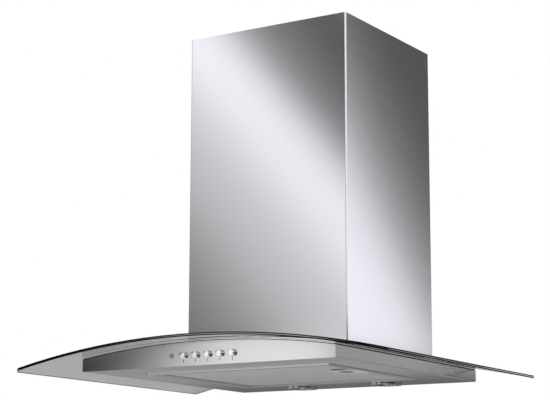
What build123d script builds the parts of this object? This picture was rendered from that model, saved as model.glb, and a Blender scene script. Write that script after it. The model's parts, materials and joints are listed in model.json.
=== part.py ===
"""Curved glass range hood, as an assembly of separate pieces.

Frame: X to the right, +Y into the wall, +Z up, all in millimetres. The origin lies on the wall
plane, in the middle of the hood's width, level with the underside of the steel body.
The deck, the seal and the glass share one arch, whose axis runs along Y.
"""
import math
import os

from build123d import *

# ------------------------------------------------------------------ sheet metal and clearances
SHEET = 0.8
BEND_RADIUS = 1.5
SLIDE_GAP = 0.5
SEAT_GAP = 0.3
SHAFT_CLEARANCE = 0.05
PIN_CLEARANCE = 0.06
SCREW_CLEARANCE = 0.1
CUT_MARGIN = 60.0

# ------------------------------------------------------------------ steel body
BODY_WIDTH = 414.0
BODY_SIDE_HEIGHT = 16.6
ARCH_RADIUS = 1330.0
FASCIA_THICKNESS = 1.0
DECK_LIP = 8.0

# ------------------------------------------------------------------ glass
GLASS_WIDTH = 600.0
GLASS_DEPTH = 455.0
GLASS_OVERHANG = 39.0
GLASS_THICKNESS = 4.0
GLASS_CORNER_RADIUS = 10.0
NOTCH_CLEARANCE = 1.5
SEAL_THICKNESS = 2.1
SEAL_WIDTH = 9.0
SEAL_INSET = 0.5

# ------------------------------------------------------------------ flue covers
FLUE_WIDTH = 271.0
FLUE_DEPTH = 259.5
FLUE_TOP = 517.0
FLUE_BEND = 2.0
FLUE_RETURN = 14.0
UPPER_FLUE_LENGTH = 450.0
UPPER_FLUE_SETBACK = 2.0
VENT_LENGTH = 62.0
VENT_HEIGHT = 5.0
VENT_PITCH = 11.0
VENT_ROWS = 5
VENT_TOP_MARGIN = 55.0
VENT_SPACING = 90.0

# ------------------------------------------------------------------ flue wall bracket
BRACKET_HEIGHT = 25.0
BRACKET_THICKNESS = 1.2
BRACKET_ARM = 28.0
BRACKET_DROP = 12.0
BRACKET_SLOT_SPACING = 180.0
BRACKET_SLOT_LENGTH = 20.0
BRACKET_SLOT_WIDTH = 5.5

# ------------------------------------------------------------------ motor box
BOX_SIDE_GAP = 17.5
BOX_FRONT_GAP = 27.5
BOX_TOP = 236.0
BOX_SHEET = 1.0
BOX_FLANGE = 13.0
KEYHOLE_SPACING = 160.0
KEYHOLE_HEIGHT = 205.0
KEYHOLE_HEAD_RADIUS = 6.0
KEYHOLE_SLOT_WIDTH = 5.5
KEYHOLE_RISE = 12.0
WALL_HOLE_RADIUS = 3.25
WALL_HOLE_HEIGHT = 80.0

# ------------------------------------------------------------------ screws
SCREW_RADIUS = 2.0
SCREW_HEAD_RADIUS = 3.6
SCREW_HEAD_HEIGHT = 2.6

# ------------------------------------------------------------------ glass clips
CLIP_REACH = 11.0
CLIP_HEIGHT = 15.0
CLIP_THICKNESS = 1.5
CLIP_LENGTH = 120.0
CLIP_SCREW_SPACING = 70.0

# ------------------------------------------------------------------ blower
BLOWER_FRONT = 82.0
BLOWER_Z = 128.0
SCROLL_START_RADIUS = 69.0
SCROLL_GROWTH = 9.0
SCROLL_WIDTH = 96.0
SCROLL_WALL = 2.0
OUTLET_DEPTH = 87.0
OUTLET_FLANGE = 8.0
OUTLET_FLANGE_THICKNESS = 3.0
TONGUE_RADIUS = 5.0
INLET_RADIUS = 52.0
INLET_LIP = 3.0
LUG_RADIUS = 4.5
LUG_LENGTH = 8.0
IMPELLER_RADIUS = 62.0
IMPELLER_LENGTH = 86.0
BLADE_COUNT = 36
BLADE_DEPTH = 12.0
BLADE_LEAD_DEG = 8.0
BLADE_ARC_RADIUS = 10.0
BLADE_THICKNESS = 0.8
IMPELLER_RING_WIDTH = 5.0
IMPELLER_PLATE = 1.5
IMPELLER_PLATE_X = -8.0
HUB_RADIUS = 9.0
HUB_LENGTH = 12.0
SHAFT_RADIUS = 4.0
MOTOR_RADIUS = 40.0
MOTOR_START_X = -1.0
MOTOR_BOSS_RADIUS = 22.0
MOTOR_BOSS_LENGTH = 6.0
MOTOR_EDGE = 5.0
MOTOR_BRACKET_THICKNESS = 2.0
MOTOR_ARM_WIDTH = 11.0
MOTOR_ARM_COUNT = 4
MOTOR_ARM_REACH = 64.0

# ------------------------------------------------------------------ outlet spigot and damper
SPIGOT_RADIUS = 75.0
SPIGOT_WALL = 2.0
SPIGOT_HEIGHT = 48.0
SPIGOT_FLANGE_THICKNESS = 3.0
SPIGOT_FLANGE_MARGIN = 5.0
DAMPER_HEIGHT = 22.0
DAMPER_ROD_RADIUS = 2.0
DAMPER_ROD_BITE = 1.5
KNUCKLE_RADIUS = 3.6
KNUCKLE_GAP = 1.0
KNUCKLE_SPAN = 124.0
FLAP_THICKNESS = 1.2
FLAP_CLEARANCE = 1.5
STOP_RING_WIDTH = 3.0
STOP_RING_HEIGHT = 2.0

# ------------------------------------------------------------------ electrics
TERMINAL_WIDTH = 22.0
TERMINAL_LENGTH = 50.0
TERMINAL_HEIGHT = 24.0
TERMINAL_WALL = 2.0
TERMINAL_INSET = 2.0
GLAND_BORE_RADIUS = 4.0
GLAND_NUT_RADIUS = 8.5
GLAND_NUT_LENGTH = 5.0
GLAND_BODY_RADIUS = 6.5
GLAND_OUTER_LENGTH = 13.0
CAPACITOR_RADIUS = 13.0
CAPACITOR_LENGTH = 50.0
CAPACITOR_CLIP_WIDTH = 14.0
CAPACITOR_CLIP_FOOT = 8.0
TRANSFORMER_SIZE = (60.0, 34.0, 14.0)
TRANSFORMER_X = 155.0
TRANSFORMER_Y = -42.0

# ------------------------------------------------------------------ controls
BUTTON_COUNT = 5
BUTTON_PITCH = 20.0
FIRST_BUTTON_X = -32.0
BUTTON_Z = 14.6
BUTTON_RADIUS = 4.75
BUTTON_REACH = 5.2
BUTTON_DOME = 1.2
BUTTON_TRAVEL = 3.5
BUTTON_COLLAR_RADIUS = 6.0
BUTTON_COLLAR_THICKNESS = 1.2
BUTTON_STEM_RADIUS = 2.5
BUTTON_STEM_GRIP = 10.0
BUTTON_GAP = 0.3
INDICATOR_X = -52.0
INDICATOR_RADIUS = 2.6
INDICATOR_HEAD_RADIUS = 3.4
INDICATOR_HEAD_REACH = 1.2
SWITCH_MARGIN = 12.0
SWITCH_DEPTH = 28.0
SWITCH_BRACKET_SHEET = 1.2
SWITCH_BRACKET_CHEEK = 14.0
SWITCH_BRACKET_LIP = 4.0

# ------------------------------------------------------------------ lamps
LAMP_X = 74.0
LAMP_Y = -35.0
LAMP_BEZEL_RADIUS = 24.5
LAMP_BEZEL_THICKNESS = 2.2
LAMP_BARREL_RADIUS = 20.5
LAMP_BARREL_WALL = 1.0
LAMP_BARREL_HEIGHT = 8.0
LAMP_WINDOW_RADIUS = 17.0
LAMP_LENS_THICKNESS = 1.6
LAMP_LENS_STEP = 1.4
LAMP_HOUSING_HEIGHT = 20.0
LAMP_HOUSING_FLANGE = 3.0
LAMP_SOCKET_RADIUS = 7.0
LAMP_SOCKET_HEIGHT = 6.0
LAMP_CAPSULE_RADIUS = 4.5
LAMP_CAPSULE_LENGTH = 7.0

# ------------------------------------------------------------------ grease filter
WELL_LEFT_BORDER = 58.0
WELL_RIGHT_BORDER = 49.0
WELL_FRONT_BORDER = 68.0
WELL_BACK_BORDER = 85.0
WELL_FLANGE_HEIGHT = 7.0
FILTER_LEFT_GAP = 4.6
FILTER_GAP = 1.5
FILTER_PROUD = 1.2
FILTER_THICKNESS = 12.7
FILTER_BAR = 14.0
FILTER_LIP = 1.2
FILTER_EDGE_RADIUS = 1.0
MESH_BITE = 5.0
MESH_GAP = 0.2
MESH_THICKNESS = 1.0
MESH_BORDER = 1.0
LOWER_MESH_PITCH = (24.0, 20.0)
UPPER_MESH_PITCH = (36.0, 28.0)
MESH_STRAND = 2.2
CORE_PITCH = 16.0
CORE_THICKNESS = 0.8
BEAD_RADIUS = 1.2
HOOK_SPACING = 120.0
HOOK_WIDTH = 16.0
HOOK_THICKNESS = 1.2

# ------------------------------------------------------------------ filter latch
LATCH_OFFSET = 33.5
LATCH_CUP_LENGTH = 28.0
LATCH_CUP_WIDTH = 40.0
LATCH_CUP_WALL = 1.0
LATCH_PLATE_THICKNESS = 1.0
LATCH_PLATE_MARGIN = 4.0
LATCH_PLATE_CORNER = 8.0
LATCH_POCKET_LENGTH = 22.0
LATCH_POCKET_WIDTH = 26.0
LATCH_TRAVEL = 6.0
BOLT_WIDTH = 16.0
BOLT_THICKNESS = 2.4
BOLT_CATCH = 2.7
BOLT_GAP = 0.3
PULL_THICKNESS = 3.0
PULL_WIDTH = 24.0
PULL_DROP = 7.6

# ------------------------------------------------------------------ shared places
BODY_HALF = BODY_WIDTH / 2
BODY_DEPTH = GLASS_DEPTH - GLASS_OVERHANG
BODY_FRONT = -BODY_DEPTH
WALL_FRONT = BODY_FRONT + FASCIA_THICKNESS
WALL_INSIDE = WALL_FRONT + SHEET
ARCH_CENTRE_Z = BODY_SIDE_HEIGHT - math.sqrt(ARCH_RADIUS**2 - BODY_HALF**2)
ARCH_CROWN_Z = ARCH_CENTRE_Z + ARCH_RADIUS
GLASS_UNDER_RADIUS = ARCH_RADIUS + SEAL_THICKNESS + SEAT_GAP
GLASS_TOP_RADIUS = GLASS_UNDER_RADIUS + GLASS_THICKNESS
OVER_ALL = ARCH_CROWN_Z + CUT_MARGIN

BOX_WIDTH = FLUE_WIDTH - 2 * BOX_SIDE_GAP
BOX_DEPTH = FLUE_DEPTH - BOX_FRONT_GAP
BOX_HALF = BOX_WIDTH / 2
NOTCH_HALF = BOX_HALF + NOTCH_CLEARANCE
NOTCH_DEPTH = BOX_DEPTH + NOTCH_CLEARANCE

BLOWER_Y = -BOX_DEPTH + BLOWER_FRONT
SCROLL_HALF = SCROLL_WIDTH / 2
SCROLL_SIDE_RADIUS = SCROLL_START_RADIUS + SCROLL_GROWTH
SCROLL_END_RADIUS = SCROLL_SIDE_RADIUS + SCROLL_GROWTH
OUTLET_BACK = BLOWER_Y + SCROLL_GROWTH + SCROLL_END_RADIUS
OUTLET_FRONT = OUTLET_BACK - OUTLET_DEPTH
OUTLET_Y = (OUTLET_BACK + OUTLET_FRONT) / 2
BOX_CEILING = BOX_TOP - BOX_SHEET
BLADE_INNER = IMPELLER_RADIUS - BLADE_DEPTH
MOTOR_END_X = SCROLL_HALF + SCROLL_WALL

SPIGOT_BORE = SPIGOT_RADIUS - SPIGOT_WALL
DAMPER_Z = BOX_TOP + SPIGOT_FLANGE_THICKNESS + DAMPER_HEIGHT
FLAP_RADIUS = SPIGOT_BORE - FLAP_CLEARANCE
KNUCKLE_LENGTH = KNUCKLE_SPAN / 4

UPPER_FLUE_WIDTH = FLUE_WIDTH - 2 * (SHEET + SLIDE_GAP)
UPPER_FLUE_DEPTH = FLUE_DEPTH - SHEET - SLIDE_GAP
UPPER_FLUE_BACK = -SHEET - SLIDE_GAP
UPPER_FLUE_TOP = FLUE_TOP - UPPER_FLUE_SETBACK

BUTTON_XS = [FIRST_BUTTON_X + i * BUTTON_PITCH for i in range(BUTTON_COUNT)]
COLLAR_FRONT = WALL_INSIDE + BUTTON_GAP
SWITCH_FRONT = COLLAR_FRONT + BUTTON_COLLAR_THICKNESS + BUTTON_TRAVEL + 1.0
SWITCH_BACK = SWITCH_FRONT + SWITCH_DEPTH
SWITCH_FLOOR = SHEET + SWITCH_BRACKET_SHEET
SWITCH_LEFT = INDICATOR_X - SWITCH_MARGIN
SWITCH_RIGHT = BUTTON_XS[-1] + SWITCH_MARGIN

WELL_LEFT = WELL_LEFT_BORDER - BODY_HALF
WELL_RIGHT = BODY_HALF - WELL_RIGHT_BORDER
WELL_FRONT = BODY_FRONT + WELL_FRONT_BORDER
WELL_BACK = -WELL_BACK_BORDER
LATCH_Y = (WELL_FRONT + WELL_BACK) / 2 - LATCH_OFFSET
FILTER_LEFT = WELL_LEFT + FILTER_LEFT_GAP
FILTER_RIGHT = WELL_RIGHT - FILTER_GAP
FILTER_FRONT = WELL_FRONT + FILTER_GAP
FILTER_BACK = WELL_BACK - FILTER_GAP
FILTER_BOTTOM = -FILTER_PROUD
FILTER_TOP = FILTER_BOTTOM + FILTER_THICKNESS
BEAD_X = WELL_LEFT - SHEET / 2
BEAD_Z = WELL_FLANGE_HEIGHT
MESH_FLOOR = FILTER_BOTTOM + FILTER_LIP
MESH_CEILING = FILTER_TOP - FILTER_LIP
BOLT_FLOOR = WELL_FLANGE_HEIGHT + SEAT_GAP
BOLT_END = WELL_RIGHT + SHEET + BOLT_CATCH
CUP_RIGHT = FILTER_RIGHT - FILTER_BAR
CUP_LEFT = CUP_RIGHT - LATCH_CUP_LENGTH


# ------------------------------------------------------------------ helpers
def block(x_span, y_span, z_span):
    """A box between two corners, given as (low, high) along each axis."""
    size = [high - low for low, high in (x_span, y_span, z_span)]
    middle = [(high + low) / 2 for low, high in (x_span, y_span, z_span)]
    return Pos(*middle) * Box(*size)


def under_arch(radius):
    """Everything below an arc of this radius about the arch axis."""
    length = 3 * GLASS_DEPTH
    return Pos(0, 0, ARCH_CENTRE_Z) * Rot(90, 0, 0) * Cylinder(radius, length)


def arch_z(radius, x):
    """Height of the arc of this radius at a distance x from the middle."""
    return ARCH_CENTRE_Z + math.sqrt(radius**2 - x**2)


def column(sketch, z_low, z_high):
    """A plan outline carried up from one height to another."""
    return extrude(Pos(0, 0, z_low) * sketch, z_high - z_low)


def plan(x_span, y_span):
    """A rectangle on the ground plan."""
    size = [high - low for low, high in (x_span, y_span)]
    middle = [(high + low) / 2 for low, high in (x_span, y_span)]
    return Pos(*middle) * Rectangle(*size)


def rod_x(x_low, x_high, y, z, radius):
    """A round bar along X."""
    return Pos((x_low + x_high) / 2, y, z) * Rot(0, 90, 0) * Cylinder(radius, x_high - x_low)


def rod_y(x, y_low, y_high, z, radius):
    """A round bar along Y."""
    return Pos(x, (y_low + y_high) / 2, z) * Rot(90, 0, 0) * Cylinder(radius, y_high - y_low)


def rod_z(x, y, z_low, z_high, radius):
    """A round bar along Z."""
    return Pos(x, y, (z_low + z_high) / 2) * Cylinder(radius, z_high - z_low)


def turned(points):
    """A turned piece: the outline (radius, height) about the Z axis."""
    return revolve(Plane.XZ * make_face(Polyline(*points, close=True)), Axis.Z)


def screw(length):
    """A hexagon-head screw whose head stands on Z = 0 and whose shank runs down."""
    head = extrude(RegularPolygon(SCREW_HEAD_RADIUS, 6), SCREW_HEAD_HEIGHT)
    return head + Pos(0, 0, -length / 2) * Cylinder(SCREW_RADIUS, length)


def group(solids):
    """Several separate solids kept together in one node."""
    return Compound(children=[s.solid() if len(s.solids()) == 1 else s for s in solids])


# ------------------------------------------------------------------ steel body
def canopy_tray():
    """Pressed tray, open towards the arch, with the flanged well that takes the filter."""
    rising = (0, OVER_ALL)
    shell = block((-BODY_HALF, BODY_HALF), (WALL_FRONT, 0), rising)
    long_edges = shell.edges().filter_by(Axis.Y).group_by(Axis.Z)[0]
    shell = fillet(long_edges, BEND_RADIUS)
    inner_half = BODY_HALF - SHEET
    hollow = block((-inner_half, inner_half), (WALL_INSIDE, -SHEET), (SHEET, OVER_ALL + 1))
    inner_edges = hollow.edges().filter_by(Axis.Y).group_by(Axis.Z)[0]
    hollow = fillet(inner_edges, BEND_RADIUS - SHEET)
    tray = (shell - hollow) & under_arch(ARCH_RADIUS)
    well = (WELL_LEFT, WELL_RIGHT), (WELL_FRONT, WELL_BACK)
    collar = offset(plan(*well), SHEET, kind=Kind.INTERSECTION)
    tray += column(collar, 0, WELL_FLANGE_HEIGHT)
    tray -= column(plan(*well), -1, WELL_FLANGE_HEIGHT + 1)
    tray += rod_y(BEAD_X, WELL_FRONT, WELL_BACK, BEAD_Z, BEAD_RADIUS)
    lamp_hole = LAMP_BARREL_RADIUS + BUTTON_GAP
    for side in (-1, 1):
        tray -= rod_z(side * LAMP_X, LAMP_Y, -1, SHEET + 1, lamp_hole)
    for x in BUTTON_XS:
        tray -= rod_y(x, WALL_FRONT - 1, WALL_INSIDE + 1, BUTTON_Z, BUTTON_RADIUS + BUTTON_GAP)
    hole = INDICATOR_RADIUS + SCREW_CLEARANCE
    tray -= rod_y(INDICATOR_X, WALL_FRONT - 1, WALL_INSIDE + 1, BUTTON_Z, hole)
    return tray


def front_fascia():
    """Brushed front plate with the arched top edge and the round control holes."""
    span = (-BODY_HALF, BODY_HALF)
    plate = block(span, (BODY_FRONT, WALL_FRONT), (0, OVER_ALL)) & under_arch(ARCH_RADIUS)
    for x in BUTTON_XS:
        plate -= rod_y(x, BODY_FRONT - 1, WALL_FRONT + 1, BUTTON_Z, BUTTON_RADIUS + BUTTON_GAP)
    hole = INDICATOR_RADIUS + SCREW_CLEARANCE
    return plate - rod_y(INDICATOR_X, BODY_FRONT - 1, WALL_FRONT + 1, BUTTON_Z, hole)


def motor_box_screw_places():
    """Plan positions of the four screws that hold the motor box on the deck."""
    x = BOX_HALF - BOX_FLANGE / 2
    y_near, y_far = -BOX_FLANGE * 3, -BOX_DEPTH + BOX_FLANGE * 3
    return [(side * x, y) for side in (-1, 1) for y in (y_near, y_far)]


def top_deck():
    """Arched sheet between the tray's walls, with a turned-down lip and the blower opening."""
    x_span = (-BODY_HALF + SHEET, BODY_HALF - SHEET)
    y_span = (WALL_INSIDE, -SHEET)
    outline = plan(x_span, y_span)
    skin = column(outline, 0, OVER_ALL) & under_arch(ARCH_RADIUS)
    skin -= under_arch(ARCH_RADIUS - SHEET)
    rim = outline - offset(outline, -SHEET, kind=Kind.INTERSECTION)
    lip = column(rim, 0, OVER_ALL) & under_arch(ARCH_RADIUS)
    lip -= under_arch(ARCH_RADIUS - DECK_LIP)
    deck = skin + lip
    opening_half = BOX_HALF - BOX_FLANGE
    opening = plan((-opening_half, opening_half), (-BOX_DEPTH + BOX_FLANGE, -BOX_FLANGE))
    deck -= column(opening, 0, OVER_ALL)
    for x, y in motor_box_screw_places():
        deck -= rod_z(x, y, 0, OVER_ALL, SCREW_RADIUS + SCREW_CLEARANCE)
    return deck


# ------------------------------------------------------------------ glass
def notch_plan(margin=0.0):
    """The glass cut-out round the motor box, open at the wall."""
    half = NOTCH_HALF + margin
    return plan((-half, half), (-NOTCH_DEPTH - margin, 0))


def glass_canopy():
    """Arched pane with rounded front corners, cut out round the motor box."""
    half = GLASS_WIDTH / 2
    outline = plan((-half, half), (-GLASS_DEPTH, 0))
    front_corners = outline.vertices().group_by(Axis.Y)[0]
    outline = fillet(front_corners, GLASS_CORNER_RADIUS)
    pane = column(outline - notch_plan(), -OVER_ALL, OVER_ALL)
    return (pane & under_arch(GLASS_TOP_RADIUS)) - under_arch(GLASS_UNDER_RADIUS)


def glass_seal():
    """Rubber strip between deck and glass, round the body's edge and round the cut-out."""
    half = BODY_HALF - SEAL_INSET
    outline = plan((-half, half), (BODY_FRONT + SEAL_INSET, -SEAL_INSET))
    strip = outline - offset(outline, -SEAL_WIDTH, kind=Kind.INTERSECTION)
    strip += notch_plan(SEAL_WIDTH) & outline
    strip -= notch_plan()
    seal = column(strip, 0, OVER_ALL) & under_arch(ARCH_RADIUS + SEAL_THICKNESS)
    return seal - under_arch(ARCH_RADIUS)


def glass_clips():
    """Three angle clips that press the glass down beside and in front of the motor box."""
    foot_top = GLASS_TOP_RADIUS + CLIP_THICKNESS
    y_span = (-BOX_DEPTH / 2 - CLIP_LENGTH / 2, -BOX_DEPTH / 2 + CLIP_LENGTH / 2)
    head = arch_z(GLASS_TOP_RADIUS, BOX_HALF) + CLIP_HEIGHT
    upright = block((BOX_HALF, BOX_HALF + CLIP_THICKNESS), y_span, (0, head))
    foot = block((BOX_HALF, BOX_HALF + CLIP_REACH), y_span, (0, OVER_ALL))
    side = (upright + (foot & under_arch(foot_top))) - under_arch(GLASS_TOP_RADIUS)
    for x, y, z in side_clip_screw_places():
        side -= rod_x(x - 5, x + 5, y, z, SCREW_RADIUS + SCREW_CLEARANCE)
    x_span = (-CLIP_LENGTH / 2, CLIP_LENGTH / 2)
    crown_head = arch_z(GLASS_TOP_RADIUS, 0) + CLIP_HEIGHT
    front = block(x_span, (-BOX_DEPTH - CLIP_THICKNESS, -BOX_DEPTH), (0, crown_head))
    toe = block(x_span, (-BOX_DEPTH - CLIP_REACH, -BOX_DEPTH), (0, OVER_ALL))
    front = (front + (toe & under_arch(foot_top))) - under_arch(GLASS_TOP_RADIUS)
    for x, y, z in front_clip_screw_places():
        front -= rod_y(x, y - 5, y + 5, z, SCREW_RADIUS + SCREW_CLEARANCE)
    return group([side, mirror(side, Plane.YZ), front])


def side_clip_screw_places():
    """Screws of the right-hand clip, on its outer face."""
    z = arch_z(GLASS_TOP_RADIUS, BOX_HALF) + CLIP_HEIGHT * 0.6
    middle = -BOX_DEPTH / 2
    half = CLIP_SCREW_SPACING / 2
    return [(BOX_HALF + CLIP_THICKNESS, y, z) for y in (middle - half, middle + half)]


def front_clip_screw_places():
    """Screws of the front clip, on its outer face."""
    z = arch_z(GLASS_TOP_RADIUS, 0) + CLIP_HEIGHT * 0.6
    half = CLIP_SCREW_SPACING / 2
    return [(x, -BOX_DEPTH - CLIP_THICKNESS, z) for x in (-half, half)]


def glass_clip_screws():
    """Six screws through the clips into the motor box."""
    length = CLIP_THICKNESS + BOX_SHEET + 4
    right = [Pos(*place) * Rot(0, 90, 0) * screw(length) for place in side_clip_screw_places()]
    left = [mirror(s, Plane.YZ) for s in right]
    front = [Pos(*place) * Rot(90, 0, 0) * screw(length) for place in front_clip_screw_places()]
    return group(right + left + front)


# ------------------------------------------------------------------ flue covers
def flue_section(width, front, back, opening_half):
    """Plan of a folded flue cover: front, two sides and two returns along the wall."""
    outer = plan((-width / 2, width / 2), (front, back))
    outer = fillet(outer.vertices().group_by(Axis.Y)[0], FLUE_BEND)
    inner = plan((-width / 2 + SHEET, width / 2 - SHEET), (front + SHEET, back - SHEET))
    inner = fillet(inner.vertices().group_by(Axis.Y)[0], FLUE_BEND - SHEET)
    return outer - inner - plan((-opening_half, opening_half), (back - SHEET, back))


def lower_flue():
    """The fixed outer cover, standing on the glass."""
    section = flue_section(FLUE_WIDTH, -FLUE_DEPTH, 0, FLUE_WIDTH / 2 - FLUE_RETURN)
    return column(section, 0, FLUE_TOP) - under_arch(GLASS_TOP_RADIUS + SEAT_GAP)


def upper_flue():
    """The inner cover that slides up out of the lower one, with outlet slots in its sides."""
    opening = UPPER_FLUE_WIDTH / 2 - FLUE_RETURN
    section = flue_section(UPPER_FLUE_WIDTH, -UPPER_FLUE_DEPTH, UPPER_FLUE_BACK, opening)
    cover = column(section, UPPER_FLUE_TOP - UPPER_FLUE_LENGTH, UPPER_FLUE_TOP)
    slot = Plane.YZ * SlotOverall(VENT_LENGTH, VENT_HEIGHT)
    cutter = extrude(slot, UPPER_FLUE_WIDTH, both=True)
    middle = (UPPER_FLUE_BACK - UPPER_FLUE_DEPTH) / 2
    for row in range(VENT_ROWS):
        z = UPPER_FLUE_TOP - VENT_TOP_MARGIN - row * VENT_PITCH
        for shift in (-VENT_SPACING / 2, VENT_SPACING / 2):
            cover -= Pos(0, middle + shift, z) * cutter
    x, y, z = flue_bracket_screw_places()
    reach = UPPER_FLUE_WIDTH
    return cover - rod_x(-reach, reach, y, z, SCREW_RADIUS + SCREW_CLEARANCE)


def flue_wall_bracket():
    """Strip behind the upper cover: slotted wall plate, set forward at both ends, two arms."""
    half = BRACKET_THICKNESS / 2
    arm_x = UPPER_FLUE_WIDTH / 2 - SHEET - half
    step_x = FLUE_WIDTH / 2 - FLUE_RETURN - SLIDE_GAP - BRACKET_THICKNESS * 2
    step_y = UPPER_FLUE_BACK - SHEET - half - SLIDE_GAP
    right = [(step_x, -half), (step_x, step_y), (arm_x, step_y), (arm_x, step_y - BRACKET_ARM)]
    left = [(-x, y) for x, y in reversed(right)]
    strip = trace(Polyline(*left, *right), BRACKET_THICKNESS)
    top = UPPER_FLUE_TOP - BRACKET_DROP
    bracket = column(strip, top - BRACKET_HEIGHT, top)
    slot = extrude(Plane.XZ * SlotOverall(BRACKET_SLOT_LENGTH, BRACKET_SLOT_WIDTH), 5, both=True)
    for side in (-1, 1):
        place = Pos(side * BRACKET_SLOT_SPACING / 2, 0, top - BRACKET_HEIGHT / 2)
        bracket -= place * slot
    x, y, z = flue_bracket_screw_places()
    reach = x + 5
    return bracket - rod_x(-reach, reach, y, z, SCREW_RADIUS + SCREW_CLEARANCE)


def flue_bracket_screw_places():
    """Screws in the bracket's arms, on the inner face of the right-hand one."""
    x = UPPER_FLUE_WIDTH / 2 - SHEET - BRACKET_THICKNESS
    y = UPPER_FLUE_BACK - SHEET - BRACKET_ARM / 2
    z = UPPER_FLUE_TOP - BRACKET_DROP - BRACKET_HEIGHT / 2
    return x, y, z


def flue_bracket_screws():
    """Two short screws from inside, through the arms into the upper cover."""
    place = Pos(*flue_bracket_screw_places()) * Rot(0, -90, 0)
    right = place * screw(BRACKET_THICKNESS + SHEET)
    return group([right, mirror(right, Plane.YZ)])


# ------------------------------------------------------------------ motor box
def motor_box():
    """Galvanised box that stands on the deck and hangs on the wall; open below."""
    outline = plan((-BOX_HALF, BOX_HALF), (-BOX_DEPTH, 0))
    inside = offset(outline, -BOX_SHEET, kind=Kind.INTERSECTION)
    box = column(outline, 0, BOX_TOP) - column(inside, -1, BOX_CEILING)
    box -= under_arch(ARCH_RADIUS)
    rim = outline - offset(outline, -BOX_FLANGE, kind=Kind.INTERSECTION)
    foot = column(rim, 0, OVER_ALL) & under_arch(ARCH_RADIUS + BOX_SHEET)
    box += foot - under_arch(ARCH_RADIUS)
    box -= block((-SCROLL_HALF, SCROLL_HALF), (OUTLET_FRONT, OUTLET_BACK), (BOX_CEILING - 1, BOX_TOP + 1))
    for side in (-1, 1):
        x = side * KEYHOLE_SPACING / 2
        box -= rod_y(x, -BOX_SHEET - 1, 1, KEYHOLE_HEIGHT, KEYHOLE_HEAD_RADIUS)
        neck_half = KEYHOLE_SLOT_WIDTH / 2
        neck_top = KEYHOLE_HEIGHT + KEYHOLE_RISE
        box -= block((x - neck_half, x + neck_half), (-BOX_SHEET - 1, 1), (KEYHOLE_HEIGHT, neck_top))
        box -= rod_y(x, -BOX_SHEET - 1, 1, neck_top, neck_half)
        box -= rod_y(x, -BOX_SHEET - 1, 1, WALL_HOLE_HEIGHT, WALL_HOLE_RADIUS)
    hole = SCREW_RADIUS + SCREW_CLEARANCE
    for x, y in motor_box_screw_places():
        box -= rod_z(x, y, 0, OVER_ALL, hole)
    for x, y, z in side_clip_screw_places():
        box -= rod_x(x - 5, x + 5, y, z, hole) + rod_x(-x - 5, -x + 5, y, z, hole)
    for x, y, z in front_clip_screw_places():
        box -= rod_y(x, y - 5, y + 5, z, hole)
    for x, y in outlet_screw_places():
        box -= rod_z(x, y, BOX_CEILING - 1, BOX_TOP + 1, hole)
    return box


def motor_box_screws():
    """Four screws up through the deck into the motor box's foot."""
    length = SHEET + BOX_SHEET + 4
    screws = []
    for x, y in motor_box_screw_places():
        seat = arch_z(ARCH_RADIUS - SHEET, abs(x) + SCREW_HEAD_RADIUS)
        screws.append(Pos(x, y, seat) * Rot(180, 0, 0) * screw(length))
    return group(screws)


# ------------------------------------------------------------------ blower
def scroll_face():
    """Inside outline of the volute, seen along X: three growing quarter arcs and the outlet."""
    top = BLOWER_Z + SCROLL_START_RADIUS
    first = CenterArc((BLOWER_Y, BLOWER_Z), SCROLL_START_RADIUS, 90, 90)
    second_y = BLOWER_Y + SCROLL_GROWTH
    second = CenterArc((second_y, BLOWER_Z), SCROLL_SIDE_RADIUS, 180, 90)
    third_z = BLOWER_Z + SCROLL_GROWTH
    third = CenterArc((second_y, third_z), SCROLL_END_RADIUS, 270, 90)
    closing = Polyline(
        (OUTLET_BACK, third_z),
        (OUTLET_BACK, BOX_CEILING),
        (OUTLET_FRONT, BOX_CEILING),
        (OUTLET_FRONT, top),
        (BLOWER_Y, top),
    )
    face = make_face([first, second, third, closing])
    tongue = face.vertices().sort_by_distance((OUTLET_FRONT, top))[0]
    return fillet(tongue, TONGUE_RADIUS)


def outlet_screw_places():
    """Plan positions of the screws that hold the volute's flange under the box's ceiling."""
    x = SCROLL_HALF + SCROLL_WALL + OUTLET_FLANGE / 2
    return [(side * x, y) for side in (-1, 1) for y in (OUTLET_FRONT, OUTLET_BACK)]


def lug_places():
    """Where the two halves are screwed together round the scroll, as (y, z)."""
    out = SCROLL_WALL + LUG_RADIUS - 0.5
    return [
        (BLOWER_Y - SCROLL_START_RADIUS - out, BLOWER_Z),
        (BLOWER_Y + SCROLL_GROWTH, BLOWER_Z - SCROLL_SIDE_RADIUS - out),
        (OUTLET_BACK + out, BLOWER_Z + SCROLL_GROWTH),
    ]


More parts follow.
